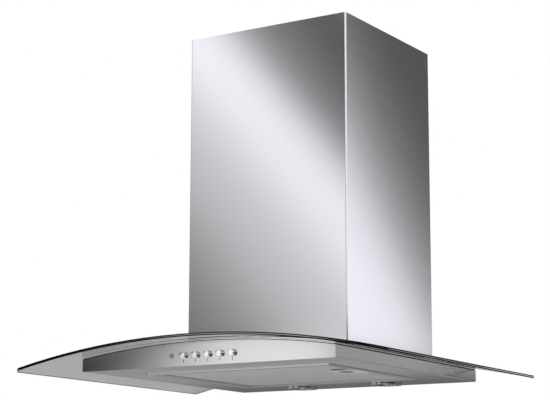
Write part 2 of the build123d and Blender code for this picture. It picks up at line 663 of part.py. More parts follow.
def volute_half():
    """Right half of the blower housing: scroll wall, side plate with its inlet, flange, lugs."""
    inside = scroll_face()
    outside = offset(inside, SCROLL_WALL)
    depth = SCROLL_HALF + SCROLL_WALL
    half = extrude(Plane.YZ * outside, depth)
    reach = SCROLL_HALF + SCROLL_WALL + OUTLET_FLANGE
    y_span = (OUTLET_FRONT - SCROLL_WALL - OUTLET_FLANGE, OUTLET_BACK + SCROLL_WALL + OUTLET_FLANGE)
    half += block((0, reach), y_span, (BOX_CEILING - OUTLET_FLANGE_THICKNESS, BOX_CEILING))
    for y, z in lug_places():
        half += rod_x(0, LUG_LENGTH, y, z, LUG_RADIUS)
    half -= extrude(Plane.YZ * inside, SCROLL_HALF)
    half -= block((-1, depth + 1), (y_span[0], y_span[1]), (BOX_CEILING, BOX_TOP + SCROLL_WALL * 2))
    lip_inner = SCROLL_HALF - INLET_LIP
    half += rod_x(lip_inner, SCROLL_HALF, BLOWER_Y, BLOWER_Z, INLET_RADIUS + SCROLL_WALL)
    half -= rod_x(lip_inner - 1, depth + 1, BLOWER_Y, BLOWER_Z, INLET_RADIUS)
    hole = SCREW_RADIUS + SCREW_CLEARANCE
    for y, z in lug_places():
        half -= rod_x(-1, LUG_LENGTH + 1, y, z, hole)
    for x, y in outlet_screw_places():
        if x > 0:
            half -= rod_z(x, y, 0, BOX_TOP, hole)
    return half


def volute_screws():
    """Three screws that join the halves and four that hang them on the box's ceiling."""
    seam = 2 * LUG_LENGTH + 2
    joins = [Pos(LUG_LENGTH, y, z) * Rot(0, 90, 0) * screw(seam) for y, z in lug_places()]
    under = BOX_CEILING - OUTLET_FLANGE_THICKNESS
    hang = OUTLET_FLANGE_THICKNESS + BOX_SHEET
    hangers = [Pos(x, y, under) * Rot(180, 0, 0) * screw(hang) for x, y in outlet_screw_places()]
    return group(joins + hangers)


def blade_section():
    """One forward-curved blade, seen along the shaft."""
    lead = math.radians(BLADE_LEAD_DEG)
    root = (BLADE_INNER, 0)
    tip_radius = IMPELLER_RADIUS - BLADE_THICKNESS / 2
    tip = (tip_radius * math.cos(lead), tip_radius * math.sin(lead))
    return trace(RadiusArc(root, tip, BLADE_ARC_RADIUS), BLADE_THICKNESS)


def on_blower_axis(shape):
    """A shape made about Z, laid on the blower's axis."""
    return Pos(0, BLOWER_Y, BLOWER_Z) * Rot(0, 90, 0) * shape


def wheel_blades():
    """The curved blades about Z, from one end ring to the other."""
    length = IMPELLER_LENGTH - 2 * IMPELLER_PLATE
    blade = extrude(Pos(0, 0, -length / 2) * blade_section(), length)
    return [Rot(0, 0, i * 360 / BLADE_COUNT) * blade for i in range(BLADE_COUNT)]


def impeller_blades():
    """Forward-curved steel blades of the double-inlet wheel, each one a separate strip."""
    return group([on_blower_axis(blade) for blade in wheel_blades()])


def impeller_rings():
    """The two rings that hold the blades' ends."""
    inner = IMPELLER_RADIUS - IMPELLER_RING_WIDTH
    ring = Cylinder(IMPELLER_RADIUS, IMPELLER_PLATE) - Cylinder(inner, IMPELLER_PLATE)
    place = (IMPELLER_LENGTH - IMPELLER_PLATE) / 2
    return group([on_blower_axis(Pos(0, 0, side * place) * ring) for side in (-1, 1)])


def impeller_hub():
    """Hub with its plate, slotted for the blades."""
    plate_radius = BLADE_INNER + BLADE_DEPTH / 2
    plate = Pos(0, 0, IMPELLER_PLATE_X) * Cylinder(plate_radius, IMPELLER_PLATE)
    hub = Pos(0, 0, IMPELLER_PLATE_X - HUB_LENGTH / 2) * Cylinder(HUB_RADIUS, HUB_LENGTH)
    wheel = (plate + hub) - Cylinder(SHAFT_RADIUS, IMPELLER_LENGTH)
    return on_blower_axis(wheel.cut(*wheel_blades()))


def motor_shaft():
    """Steel shaft, held in the hub and turning in the motor."""
    low = IMPELLER_PLATE_X - HUB_LENGTH - 2
    high = MOTOR_END_X - 4
    return rod_x(low, high, BLOWER_Y, BLOWER_Z, SHAFT_RADIUS)


def fan_motor():
    """Round motor inside the wheel, with a rear boss through its bracket."""
    length = MOTOR_END_X - MOTOR_START_X
    body = Cylinder(MOTOR_RADIUS, length)
    body = chamfer(body.edges().filter_by(GeomType.CIRCLE).sort_by(Axis.Z)[0], MOTOR_EDGE)
    boss = Pos(0, 0, (length + MOTOR_BOSS_LENGTH) / 2) * Cylinder(MOTOR_BOSS_RADIUS, MOTOR_BOSS_LENGTH)
    motor = Pos((MOTOR_START_X + MOTOR_END_X) / 2, BLOWER_Y, BLOWER_Z) * Rot(0, 90, 0) * (body + boss)
    bore_end = MOTOR_END_X - 3
    bore = SHAFT_RADIUS + SHAFT_CLEARANCE
    return motor - rod_x(MOTOR_START_X - 1, bore_end, BLOWER_Y, BLOWER_Z, bore)


def motor_bracket():
    """Spider that carries the motor across the right-hand inlet."""
    plate = Circle(MOTOR_RADIUS)
    arm = plan((0, MOTOR_ARM_REACH), (-MOTOR_ARM_WIDTH / 2, MOTOR_ARM_WIDTH / 2))
    for i in range(MOTOR_ARM_COUNT):
        plate += Rot(0, 0, 45 + i * 360 / MOTOR_ARM_COUNT) * arm
    plate -= Circle(MOTOR_BOSS_RADIUS + SCREW_CLEARANCE)
    spider = extrude(Plane.YZ * plate, MOTOR_BRACKET_THICKNESS)
    return Pos(MOTOR_END_X, BLOWER_Y, BLOWER_Z) * spider


# ------------------------------------------------------------------ outlet spigot and damper
def outlet_spigot():
    """Round collar for the duct on its square flange, with the ring that stops the flaps."""
    half = SPIGOT_RADIUS + SPIGOT_FLANGE_MARGIN
    base = plan((-half, half), (OUTLET_Y - half, OUTLET_Y + half))
    base = fillet(base.vertices(), FLUE_BEND * 3)
    top = BOX_TOP + SPIGOT_FLANGE_THICKNESS
    spigot = column(base, BOX_TOP, top)
    spigot += rod_z(0, OUTLET_Y, BOX_TOP, top + SPIGOT_HEIGHT, SPIGOT_RADIUS)
    spigot -= rod_z(0, OUTLET_Y, BOX_TOP - 1, top + SPIGOT_HEIGHT + 1, SPIGOT_BORE)
    ring_top = DAMPER_Z - FLAP_THICKNESS / 2 - SEAT_GAP
    ring_low = ring_top - STOP_RING_HEIGHT
    ring = rod_z(0, OUTLET_Y, ring_low, ring_top, SPIGOT_BORE)
    ring -= rod_z(0, OUTLET_Y, ring_low, ring_top, SPIGOT_BORE - STOP_RING_WIDTH)
    gap = KNUCKLE_RADIUS + KNUCKLE_GAP * 2
    ring -= block((-half, half), (OUTLET_Y - gap, OUTLET_Y + gap), (ring_low, ring_top))
    spigot += ring
    seat = SPIGOT_BORE + DAMPER_ROD_BITE
    return spigot - rod_x(-seat, seat, OUTLET_Y, DAMPER_Z, DAMPER_ROD_RADIUS)


def damper_rod():
    """Hinge rod across the spigot, its ends set in the collar's wall."""
    seat = SPIGOT_BORE + DAMPER_ROD_BITE
    return rod_x(-seat, seat, OUTLET_Y, DAMPER_Z, DAMPER_ROD_RADIUS)


def damper_flap(first):
    """Half-round flap on the room side of the rod, on every second knuckle."""
    disc = Circle(FLAP_RADIUS) & plan((-FLAP_RADIUS, FLAP_RADIUS), (-FLAP_RADIUS, 0))
    clear = KNUCKLE_RADIUS + KNUCKLE_GAP
    starts = [-KNUCKLE_SPAN / 2 + i * KNUCKLE_LENGTH for i in range(4)]
    own = starts[first::2]
    disc -= plan((-FLAP_RADIUS, FLAP_RADIUS), (-clear, 0))
    trim = KNUCKLE_GAP / 2
    for start in own:
        disc += plan((start + trim, start + KNUCKLE_LENGTH - trim), (-clear - 1, 0))
    flap = column(disc, -FLAP_THICKNESS / 2, FLAP_THICKNESS / 2)
    for start in own:
        flap += rod_x(start + trim, start + KNUCKLE_LENGTH - trim, 0, 0, KNUCKLE_RADIUS)
    flap -= rod_x(-FLAP_RADIUS, FLAP_RADIUS, 0, 0, DAMPER_ROD_RADIUS + PIN_CLEARANCE)
    return flap


def damper_flap_front():
    """Flap on the room side."""
    return Pos(0, OUTLET_Y, DAMPER_Z) * damper_flap(0)


def damper_flap_rear():
    """Flap on the wall side."""
    return Pos(0, OUTLET_Y, DAMPER_Z) * Rot(0, 0, 180) * damper_flap(0)


# ------------------------------------------------------------------ electrics on the motor box
def terminal_spans():
    """Outer (x, y, z) spans of the terminal box, on the box's right-hand edge."""
    right = BOX_HALF - TERMINAL_INSET
    front = -BOX_DEPTH + TERMINAL_INSET
    y_span = (front, front + TERMINAL_LENGTH)
    return (right - TERMINAL_WIDTH, right), y_span, (BOX_TOP, BOX_TOP + TERMINAL_HEIGHT)


def terminal_box():
    """Open plastic box for the mains connection, with the hole for the gland."""
    spans = terminal_spans()
    case = block(*spans)
    case = fillet(case.edges().filter_by(Axis.Z), TERMINAL_WALL)
    low, high = zip(*spans)
    inner = [(a + TERMINAL_WALL, b - TERMINAL_WALL) for a, b in zip(low, high)]
    inner[2] = (inner[2][0], high[2] + 1)
    case -= block(*inner)
    x, y, z = gland_place()
    return case - rod_y(x, y - TERMINAL_WALL - 1, y + 1, z, GLAND_BODY_RADIUS)


def terminal_cover():
    """Flat lid with a locating rib inside the box."""
    x_span, y_span, z_span = terminal_spans()
    lid = block(x_span, y_span, (z_span[1], z_span[1] + TERMINAL_WALL))
    lid = fillet(lid.edges().filter_by(Axis.Z), TERMINAL_WALL)
    inset = TERMINAL_WALL + SEAT_GAP
    rim = plan((x_span[0] + inset, x_span[1] - inset), (y_span[0] + inset, y_span[1] - inset))
    rib = rim - offset(rim, -TERMINAL_WALL, kind=Kind.INTERSECTION)
    return lid + column(rib, z_span[1] - TERMINAL_WALL, z_span[1])


def gland_place():
    """Where the gland passes through the terminal box, on its wall-side face."""
    x_span, y_span, z_span = terminal_spans()
    return (x_span[0] + x_span[1]) / 2, y_span[1], (z_span[0] + z_span[1]) / 2


def cable_gland():
    """Round cable entry with a hexagon nut outside, a nut inside and a clear bore."""
    x, y, z = gland_place()
    body = rod_y(x, y - TERMINAL_WALL - GLAND_NUT_LENGTH, y + GLAND_OUTER_LENGTH, z, GLAND_BODY_RADIUS)
    nut = extrude(RegularPolygon(GLAND_NUT_RADIUS, 6), GLAND_NUT_LENGTH)
    body += Pos(x, y + GLAND_NUT_LENGTH, z) * Rot(90, 0, 0) * nut
    inner_nut = extrude(RegularPolygon(GLAND_NUT_RADIUS, 6), GLAND_NUT_LENGTH - 1)
    body += Pos(x, y - TERMINAL_WALL, z) * Rot(90, 0, 0) * inner_nut
    return body - rod_y(x, y - 20, y + 20, z, GLAND_BORE_RADIUS)


def capacitor_place():
    """Centre of the run capacitor, lying on the motor box's left-hand edge."""
    x = -BOX_HALF + TERMINAL_INSET + CAPACITOR_RADIUS
    y = -BOX_DEPTH + TERMINAL_INSET + CAPACITOR_LENGTH / 2
    return x, y, BOX_TOP + CAPACITOR_RADIUS


def run_capacitor():
    """Round can lying along Y."""
    x, y, z = capacitor_place()
    return rod_y(x, y - CAPACITOR_LENGTH / 2, y + CAPACITOR_LENGTH / 2, z, CAPACITOR_RADIUS)


def capacitor_clip():
    """Strap over the capacitor with one foot on the motor box."""
    x, y, z = capacitor_place()
    y_span = (y - CAPACITOR_CLIP_WIDTH / 2, y + CAPACITOR_CLIP_WIDTH / 2)
    outer = CAPACITOR_RADIUS + SHEET
    strap = rod_y(x, *y_span, z, outer) + block((x, x + outer), y_span, (BOX_TOP, z))
    strap -= block((x - outer, x + CAPACITOR_RADIUS), y_span, (BOX_TOP - 5, z))
    strap -= rod_y(x, *y_span, z, CAPACITOR_RADIUS)
    foot_end = x + outer + CAPACITOR_CLIP_FOOT
    return strap + block((x + CAPACITOR_RADIUS, foot_end), y_span, (BOX_TOP, BOX_TOP + SHEET))


def lamp_transformer():
    """Small transformer on the tray's floor, beside the right-hand lamp."""
    length, depth, height = TRANSFORMER_SIZE
    x_span = (TRANSFORMER_X - length / 2, TRANSFORMER_X + length / 2)
    y_span = (TRANSFORMER_Y - depth / 2, TRANSFORMER_Y + depth / 2)
    case = block(x_span, y_span, (SHEET, SHEET + height))
    return fillet(case.edges().filter_by(Axis.Z), TERMINAL_WALL)


# ------------------------------------------------------------------ controls
def switch_block():
    """Push-button switch bank, with a guide bore for each stem and for the indicator."""
    height = 2 * (BUTTON_Z - SWITCH_FLOOR)
    z_span = (SWITCH_FLOOR, SWITCH_FLOOR + height)
    bank = block((SWITCH_LEFT, SWITCH_RIGHT), (SWITCH_FRONT, SWITCH_BACK), z_span)
    bore_end = COLLAR_FRONT + BUTTON_COLLAR_THICKNESS + BUTTON_STEM_GRIP + 3 * BUTTON_TRAVEL
    for x in BUTTON_XS:
        bank -= rod_y(x, SWITCH_FRONT - 1, bore_end, BUTTON_Z, BUTTON_STEM_RADIUS + PIN_CLEARANCE)
    bore_end = SWITCH_FRONT + BUTTON_STEM_GRIP
    hole = INDICATOR_RADIUS + SCREW_CLEARANCE
    return bank - rod_y(INDICATOR_X, SWITCH_FRONT - 1, bore_end, BUTTON_Z, hole)


def switch_bracket():
    """Folded cradle under the switch bank: floor, front lip and an end cheek each side."""
    x_span = (SWITCH_LEFT - SWITCH_BRACKET_SHEET, SWITCH_RIGHT + SWITCH_BRACKET_SHEET)
    floor = block(x_span, (WALL_INSIDE, SWITCH_BACK), (SHEET, SWITCH_FLOOR))
    lip_back = WALL_INSIDE + SWITCH_BRACKET_SHEET
    floor += block(x_span, (WALL_INSIDE, lip_back), (SHEET, SWITCH_FLOOR + SWITCH_BRACKET_LIP))
    cheek_top = SWITCH_FLOOR + SWITCH_BRACKET_CHEEK
    for low, high in ((x_span[0], SWITCH_LEFT), (SWITCH_RIGHT, x_span[1])):
        floor += block((low, high), (SWITCH_FRONT, SWITCH_BACK), (SHEET, cheek_top))
    return floor


def indicator_lens():
    """Small round lens with a domed head outside the fascia and a barrel into the switch."""
    back = SWITCH_FRONT + BUTTON_STEM_GRIP / 2 - BODY_FRONT
    lens = turned([
        (0, -back),
        (INDICATOR_RADIUS, -back),
        (INDICATOR_RADIUS, 0),
        (INDICATOR_HEAD_RADIUS, 0),
        (INDICATOR_HEAD_RADIUS, INDICATOR_HEAD_REACH / 2),
        (INDICATOR_RADIUS, INDICATOR_HEAD_REACH),
        (0, INDICATOR_HEAD_REACH),
    ])
    return Pos(INDICATOR_X, BODY_FRONT, BUTTON_Z) * Rot(90, 0, 0) * lens


def push_button(x):
    """Chromed button: crowned cap, collar behind the front wall and a stem into the switch."""
    collar_front = BODY_FRONT - COLLAR_FRONT
    collar_back = collar_front - BUTTON_COLLAR_THICKNESS
    stem_end = collar_back - (SWITCH_FRONT - COLLAR_FRONT - BUTTON_COLLAR_THICKNESS) - BUTTON_STEM_GRIP
    rim = BUTTON_REACH - BUTTON_DOME
    crown = [(BUTTON_RADIUS - BUTTON_DOME, BUTTON_REACH - BUTTON_DOME / 4), (0, BUTTON_REACH)]
    side = Polyline(
        (0, stem_end),
        (BUTTON_STEM_RADIUS, stem_end),
        (BUTTON_STEM_RADIUS, collar_back),
        (BUTTON_COLLAR_RADIUS, collar_back),
        (BUTTON_COLLAR_RADIUS, collar_front),
        (BUTTON_RADIUS, collar_front),
        (BUTTON_RADIUS, rim),
    )
    outline = make_face([side, Polyline((BUTTON_RADIUS, rim), *crown, (0, stem_end))])
    knob = revolve(Plane.XZ * outline, Axis.Z)
    return Pos(x, BODY_FRONT, BUTTON_Z) * Rot(90, 0, 0) * knob


# ------------------------------------------------------------------ lamps
def at_lamp(side, piece):
    """Put a turned lamp piece in its place, left (-1) or right (1)."""
    return Pos(side * LAMP_X, LAMP_Y, 0) * piece


def lamp_bezel():
    """Ring under the tray with a barrel up through the hole."""
    inner = LAMP_BARREL_RADIUS - LAMP_BARREL_WALL
    return turned([
        (LAMP_WINDOW_RADIUS, -LAMP_BEZEL_THICKNESS),
        (LAMP_BEZEL_RADIUS - LAMP_BEZEL_THICKNESS, -LAMP_BEZEL_THICKNESS),
        (LAMP_BEZEL_RADIUS, 0),
        (LAMP_BARREL_RADIUS, 0),
        (LAMP_BARREL_RADIUS, LAMP_BARREL_HEIGHT),
        (inner, LAMP_BARREL_HEIGHT),
        (inner, 0),
        (LAMP_WINDOW_RADIUS, 0),
    ])


def lamp_lens():
    """Glass disc on the bezel's ledge, stepped down into the window."""
    rim = LAMP_BARREL_RADIUS - LAMP_BARREL_WALL - SEAT_GAP
    step = LAMP_WINDOW_RADIUS - SEAT_GAP
    disc = rod_z(0, 0, 0, LAMP_LENS_THICKNESS, rim)
    return disc + rod_z(0, 0, -LAMP_LENS_STEP, 0, step)


def lamp_housing():
    """Closed cup over the barrel, standing on the tray's floor."""
    inner = LAMP_BARREL_RADIUS + BUTTON_GAP
    outer = inner + SHEET
    flange = outer + LAMP_HOUSING_FLANGE
    ceiling = SHEET + LAMP_HOUSING_HEIGHT
    return turned([
        (inner, SHEET),
        (flange, SHEET),
        (flange, 2 * SHEET),
        (outer, 2 * SHEET),
        (outer, ceiling + SHEET),
        (0, ceiling + SHEET),
        (0, ceiling),
        (inner, ceiling),
    ])


def lamp_socket():
    """Ceramic socket under the cup's top."""
    ceiling = SHEET + LAMP_HOUSING_HEIGHT
    return rod_z(0, 0, ceiling - LAMP_SOCKET_HEIGHT, ceiling, LAMP_SOCKET_RADIUS)


def lamp_capsule():
    """Small glass capsule bulb in the socket."""
    top = SHEET + LAMP_HOUSING_HEIGHT - LAMP_SOCKET_HEIGHT
    bulb = rod_z(0, 0, top - LAMP_CAPSULE_LENGTH, top, LAMP_CAPSULE_RADIUS)
    tip = bulb.edges().filter_by(GeomType.CIRCLE).sort_by(Axis.Z)[0]
    return chamfer(tip, LAMP_CAPSULE_RADIUS * 0.6)


# ------------------------------------------------------------------ grease filter
def filter_plan(inset=0.0):
    """Plan outline of the filter, drawn in by an inset."""
    x_span = (FILTER_LEFT + inset, FILTER_RIGHT - inset)
    return plan(x_span, (FILTER_FRONT + inset, FILTER_BACK - inset))


def latch_cup_plan(margin=0.0):
    """Plan of the latch cup beside the right-hand bar."""
    half = LATCH_CUP_WIDTH / 2 + margin
    return plan((CUP_LEFT - margin, CUP_RIGHT), (LATCH_Y - half, LATCH_Y + half))


def filter_hook():
    """Half-round hook that hangs over the well's beaded edge."""
    inner = BEAD_RADIUS + PIN_CLEARANCE
    outer = inner + HOOK_THICKNESS
    y_span = (-HOOK_WIDTH / 2, HOOK_WIDTH / 2)
    hook = rod_y(BEAD_X, *y_span, BEAD_Z, outer)
    hook &= block((BEAD_X - outer, BEAD_X + outer), y_span, (BEAD_Z, BEAD_Z + outer))
    hook += block((BEAD_X, FILTER_LEFT + 1), y_span, (BEAD_Z + inner, BEAD_Z + outer))
    return hook - rod_y(BEAD_X, *y_span, BEAD_Z, inner)


def filter_frame():
    """Aluminium channel frame with two hooks on the left and the bolt's slot on the right."""
    frame = column(filter_plan(), FILTER_BOTTOM, FILTER_TOP)
    outer_edges = frame.edges().group_by(Axis.Z)
    frame = fillet(outer_edges[0] + outer_edges[-1], FILTER_EDGE_RADIUS)
    frame -= column(filter_plan(FILTER_BAR), FILTER_BOTTOM - 1, FILTER_TOP + 1)
    frame -= column(filter_plan(FILTER_BAR - MESH_BITE), MESH_FLOOR, MESH_CEILING)
    middle = (FILTER_FRONT + FILTER_BACK) / 2
    for side in (-1, 1):
        frame += Pos(0, middle + side * HOOK_SPACING / 2, 0) * filter_hook()
    half = BOLT_WIDTH / 2 + BOLT_GAP
    z_span = (BOLT_FLOOR - BOLT_GAP, BOLT_FLOOR + BOLT_THICKNESS + BOLT_GAP)
    return frame - block((CUP_RIGHT - 1, FILTER_RIGHT + 1), (LATCH_Y - half, LATCH_Y + half), z_span)


def filter_sheet_plan():
    """Plan of the sheets and the pad: into the channel, clear of the latch cup and the bolt."""
    sheet = filter_plan(FILTER_BAR - MESH_BITE + MESH_GAP) - latch_cup_plan(MESH_GAP)
    half = BOLT_WIDTH / 2 + BOLT_GAP
    return sheet - plan((CUP_RIGHT - 1, FILTER_RIGHT), (LATCH_Y - half, LATCH_Y + half))


def diamond_holes(pitch):
    """Staggered diamond openings over the filter's window, clear of the latch cup."""
    pitch_x, pitch_y = pitch
    half_x = pitch_x / 2 - MESH_STRAND
    half_y = pitch_y / 2 - MESH_STRAND
    window = filter_plan(FILTER_BAR + MESH_BORDER)
    box = window.bounding_box()
    cup = latch_cup_plan(MESH_BORDER).bounding_box()
    diamond = make_face(Polyline((half_x, 0), (0, half_y), (-half_x, 0), (0, -half_y), close=True))
    holes = []
    columns = 2 * int((box.size.X - 2 * half_x) / pitch_x) + 1
    rows = 2 * int((box.size.Y - 2 * half_y) / pitch_y) + 1
    middle = box.center()
    for i in range(columns):
        for j in range(i % 2, rows, 2):
            x = middle.X + (i - columns // 2) * pitch_x / 2
            y = middle.Y + (j - rows // 2) * pitch_y / 2
            beside = x + half_x < cup.min.X or x - half_x > cup.max.X
            if beside or y + half_y < cup.min.Y or y - half_y > cup.max.Y:
                holes.append(Pos(x, y) * diamond)
    return holes


def mesh_sheet(pitch, z_low):
    """Expanded metal sheet in the frame's channel."""
    sheet = filter_sheet_plan() - diamond_holes(pitch)
    return column(sheet, z_low, z_low + MESH_THICKNESS)


def filter_mesh_lower():
    """Sheet that faces the cooktop."""
    return mesh_sheet(LOWER_MESH_PITCH, MESH_FLOOR)


def filter_mesh_upper():
    """Coarser sheet on the blower's side."""
    return mesh_sheet(UPPER_MESH_PITCH, MESH_CEILING - MESH_THICKNESS)


def filter_core():
    """Third sheet, folded to and fro between the other two."""
    low = MESH_FLOOR + MESH_THICKNESS
    high = MESH_CEILING - MESH_THICKNESS
    count = int((FILTER_RIGHT - FILTER_LEFT) / CORE_PITCH) + 2
    points = []
    for i in range(count):
        x = FILTER_LEFT + i * CORE_PITCH
        points += [(x, low), (x + CORE_PITCH / 2, high)]
    folds = trace(Polyline(*points), CORE_THICKNESS)
    folded = extrude(Plane.XZ * folds, -FILTER_FRONT)
    return folded & column(filter_sheet_plan(), low, high)


def latch_housing():
    """Finger cup riveted beside the frame's right bar, with its rounded plate underneath."""
    pocket_middle = (CUP_LEFT + CUP_RIGHT) / 2
    cup = column(latch_cup_plan(), FILTER_BOTTOM, MESH_CEILING)
    inner_half = LATCH_CUP_WIDTH / 2 - LATCH_CUP_WALL
    ceiling = MESH_CEILING - LATCH_CUP_WALL * 0.5
    x_span = (CUP_LEFT + LATCH_CUP_WALL, CUP_RIGHT + 1)
    cup -= block(x_span, (LATCH_Y - inner_half, LATCH_Y + inner_half), (FILTER_BOTTOM - 1, ceiling))
    reach = LATCH_PLATE_MARGIN
    half = LATCH_CUP_WIDTH / 2 + reach
    plate = plan((CUP_LEFT - reach, FILTER_RIGHT - FILTER_EDGE_RADIUS), (LATCH_Y - half, LATCH_Y + half))
    plate = fillet(plate.vertices(), LATCH_PLATE_CORNER)
    pocket = Pos(pocket_middle, LATCH_Y) * SlotOverall(LATCH_POCKET_WIDTH, LATCH_POCKET_LENGTH, 90)
    return cup + column(plate - pocket, FILTER_BOTTOM - LATCH_PLATE_THICKNESS, FILTER_BOTTOM)


def filter_latch():
    """Sliding bolt with the pull that a finger draws towards the middle of the filter."""
    half = BOLT_WIDTH / 2
    bolt_start = CUP_LEFT + LATCH_CUP_WALL + LATCH_TRAVEL + 2 * BOLT_GAP
    bolt_top = BOLT_FLOOR + BOLT_THICKNESS
    bolt = block((bolt_start, BOLT_END), (LATCH_Y - half, LATCH_Y + half), (BOLT_FLOOR, bolt_top))
    nose = bolt.edges().filter_by(Axis.Y).group_by(Axis.X)[-1].sort_by(Axis.Z)[0]
    bolt = chamfer(nose, BOLT_THICKNESS * 0.6)
    pull_half = PULL_WIDTH / 2
    pull_x = (bolt_start, bolt_start + PULL_THICKNESS)
    pull = block(pull_x, (LATCH_Y - pull_half, LATCH_Y + pull_half), (BOLT_FLOOR - PULL_DROP, bolt_top))
    return bolt + fillet(pull.edges().filter_by(Axis.X), 1.0)


# ------------------------------------------------------------------ writing the pieces
def pieces():
    """Every sub-part by its name."""
    right_volute = volute_half()
    made = {
        "canopy_tray": canopy_tray(),
        "top_deck": top_deck(),
        "front_fascia": front_fascia(),
        "glass_canopy": glass_canopy(),
        "glass_seal": glass_seal(),
        "glass_clips": glass_clips(),
        "glass_clip_screws": glass_clip_screws(),
        "lower_flue": lower_flue(),
        "upper_flue": upper_flue(),
        "flue_wall_bracket": flue_wall_bracket(),
        "flue_bracket_screws": flue_bracket_screws(),
        "motor_box": motor_box(),
        "motor_box_screws": motor_box_screws(),
        "volute_right": right_volute,
        "volute_left": mirror(right_volute, Plane.YZ),
        "volute_screws": volute_screws(),
        "impeller_hub": impeller_hub(),
        "impeller_blades": impeller_blades(),
        "impeller_rings": impeller_rings(),
        "motor_shaft": motor_shaft(),
        "fan_motor": fan_motor(),
        "motor_bracket": motor_bracket(),
        "outlet_spigot": outlet_spigot(),
        "damper_rod": damper_rod(),
        "damper_flap_front": damper_flap_front(),
        "damper_flap_rear": damper_flap_rear(),
        "terminal_box": terminal_box(),
        "terminal_cover": terminal_cover(),
        "cable_gland": cable_gland(),
        "run_capacitor": run_capacitor(),
        "capacitor_clip": capacitor_clip(),
        "lamp_transformer": lamp_transformer(),
        "switch_block": switch_block(),
        "switch_bracket": switch_bracket(),
        "indicator_lens": indicator_lens(),
        "filter_frame": filter_frame(),
        "filter_mesh_lower": filter_mesh_lower(),
        "filter_mesh_upper": filter_mesh_upper(),
        "filter_core": filter_core(),
        "latch_housing": latch_housing(),
        "filter_latch": filter_latch(),
    }
    for number, x in enumerate(BUTTON_XS, start=1):
        made[f"button_{number}"] = push_button(x)
    for name, side in (("left", -1), ("right", 1)):
        made[f"lamp_bezel_{name}"] = at_lamp(side, lamp_bezel())
        made[f"lamp_lens_{name}"] = at_lamp(side, lamp_lens())
        made[f"lamp_housing_{name}"] = at_lamp(side, lamp_housing())
        made[f"lamp_socket_{name}"] = at_lamp(side, lamp_socket())
        made[f"lamp_capsule_{name}"] = at_lamp(side, lamp_capsule())
    return made


os.makedirs("parts", exist_ok=True)
for node, shape in pieces().items():
    export_step(shape, f"parts/{node}.step")
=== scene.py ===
# %% [markdown]
# # A curved glass range hood
# The measured model comes in first, as a fixed frame: every metal part, screw and flap is already
# in its true place. This lesson gives each of them its finish, and remodels the few pieces whose
# soft edges and fine mesh a measured solid doesn't show.

# %% Load the frame
import json
import math

import bmesh
import bpy
from mathutils import Matrix, Vector

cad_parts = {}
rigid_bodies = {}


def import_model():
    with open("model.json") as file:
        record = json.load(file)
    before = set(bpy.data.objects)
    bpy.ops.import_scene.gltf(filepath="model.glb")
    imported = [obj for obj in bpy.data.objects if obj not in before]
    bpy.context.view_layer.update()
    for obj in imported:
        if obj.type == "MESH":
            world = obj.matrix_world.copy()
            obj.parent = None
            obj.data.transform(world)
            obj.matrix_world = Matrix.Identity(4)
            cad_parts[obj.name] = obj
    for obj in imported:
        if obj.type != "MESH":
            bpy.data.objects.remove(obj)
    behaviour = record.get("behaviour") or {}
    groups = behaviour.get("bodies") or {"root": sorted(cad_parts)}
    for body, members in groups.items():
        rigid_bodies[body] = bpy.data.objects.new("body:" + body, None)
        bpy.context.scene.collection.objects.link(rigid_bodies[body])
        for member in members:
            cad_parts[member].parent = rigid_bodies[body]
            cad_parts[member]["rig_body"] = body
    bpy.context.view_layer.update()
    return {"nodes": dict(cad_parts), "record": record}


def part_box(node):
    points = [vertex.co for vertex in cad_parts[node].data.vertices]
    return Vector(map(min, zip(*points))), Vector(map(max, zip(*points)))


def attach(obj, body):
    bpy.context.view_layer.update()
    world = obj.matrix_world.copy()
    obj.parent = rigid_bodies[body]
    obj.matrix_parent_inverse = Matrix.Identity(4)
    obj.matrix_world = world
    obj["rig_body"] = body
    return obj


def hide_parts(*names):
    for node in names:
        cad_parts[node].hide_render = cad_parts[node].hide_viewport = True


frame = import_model()
nodes = frame["nodes"]
MM = 0.001

# %% [markdown]
# ## Camera
# The picture was taken from the right, a little below the hood, with a long lens. The place, the
# angles and the lens below were solved from the straight edges of the flue and the body.

# %% Camera
EYE = Vector((1.2806, -2.2678, -0.2186))
TURN_LEFT = math.radians(32.996)
LOOK_UP = math.radians(11.211)
ROLL = math.radians(0.311)
FOCAL_MM = 109.07
SENSOR_MM = 36
SHIFT_X = 0.0414
VIEW_END = 60


def camera_axes():
    """Right, up and back directions of the camera."""
    forward = Vector((-math.sin(TURN_LEFT) * math.cos(LOOK_UP),
                      math.cos(TURN_LEFT) * math.cos(LOOK_UP),
                      math.sin(LOOK_UP)))
    right = Vector((math.cos(TURN_LEFT), math.sin(TURN_LEFT), 0))
    up = right.cross(forward)
    rolled_right = right * math.cos(ROLL) + up * math.sin(ROLL)
    rolled_up = up * math.cos(ROLL) - right * math.sin(ROLL)
    return rolled_right, rolled_up, -forward


def add_camera():
    data = bpy.data.cameras.new("camera")
    data.lens = FOCAL_MM
    data.sensor_width = SENSOR_MM
    data.shift_x = SHIFT_X
    data.clip_end = VIEW_END
    camera = bpy.data.objects.new("camera", data)
    bpy.context.scene.collection.objects.link(camera)
    turn = Matrix(camera_axes()).transposed().to_4x4()
    camera.matrix_world = Matrix.Translation(EYE) @ turn
    bpy.context.scene.camera = camera
    return camera


add_camera()
print("the camera looks through a lens of", round(FOCAL_MM), "mm")

# %% [markdown]
# ## Light
# Steel has no colour of its own to speak of: it shows the room. So the studio is built from a
# white surround, two soft lamps, and cards that only reflections can see. The two tall ones fade
# from white to dark on a slant, and that slant is what runs down the flue. The floor lies far
# below, so the hood can be looked at from underneath too.

# %% World and floor
scene = bpy.context.scene
scene.view_settings.view_transform = "Standard"
DIFFUSE_LIGHT = 0.75
FLOOR_Z = -3.2
FLOOR_SIZE = 45
FLOOR_GREY = 0.93
FLOOR_GLOW = 0.6


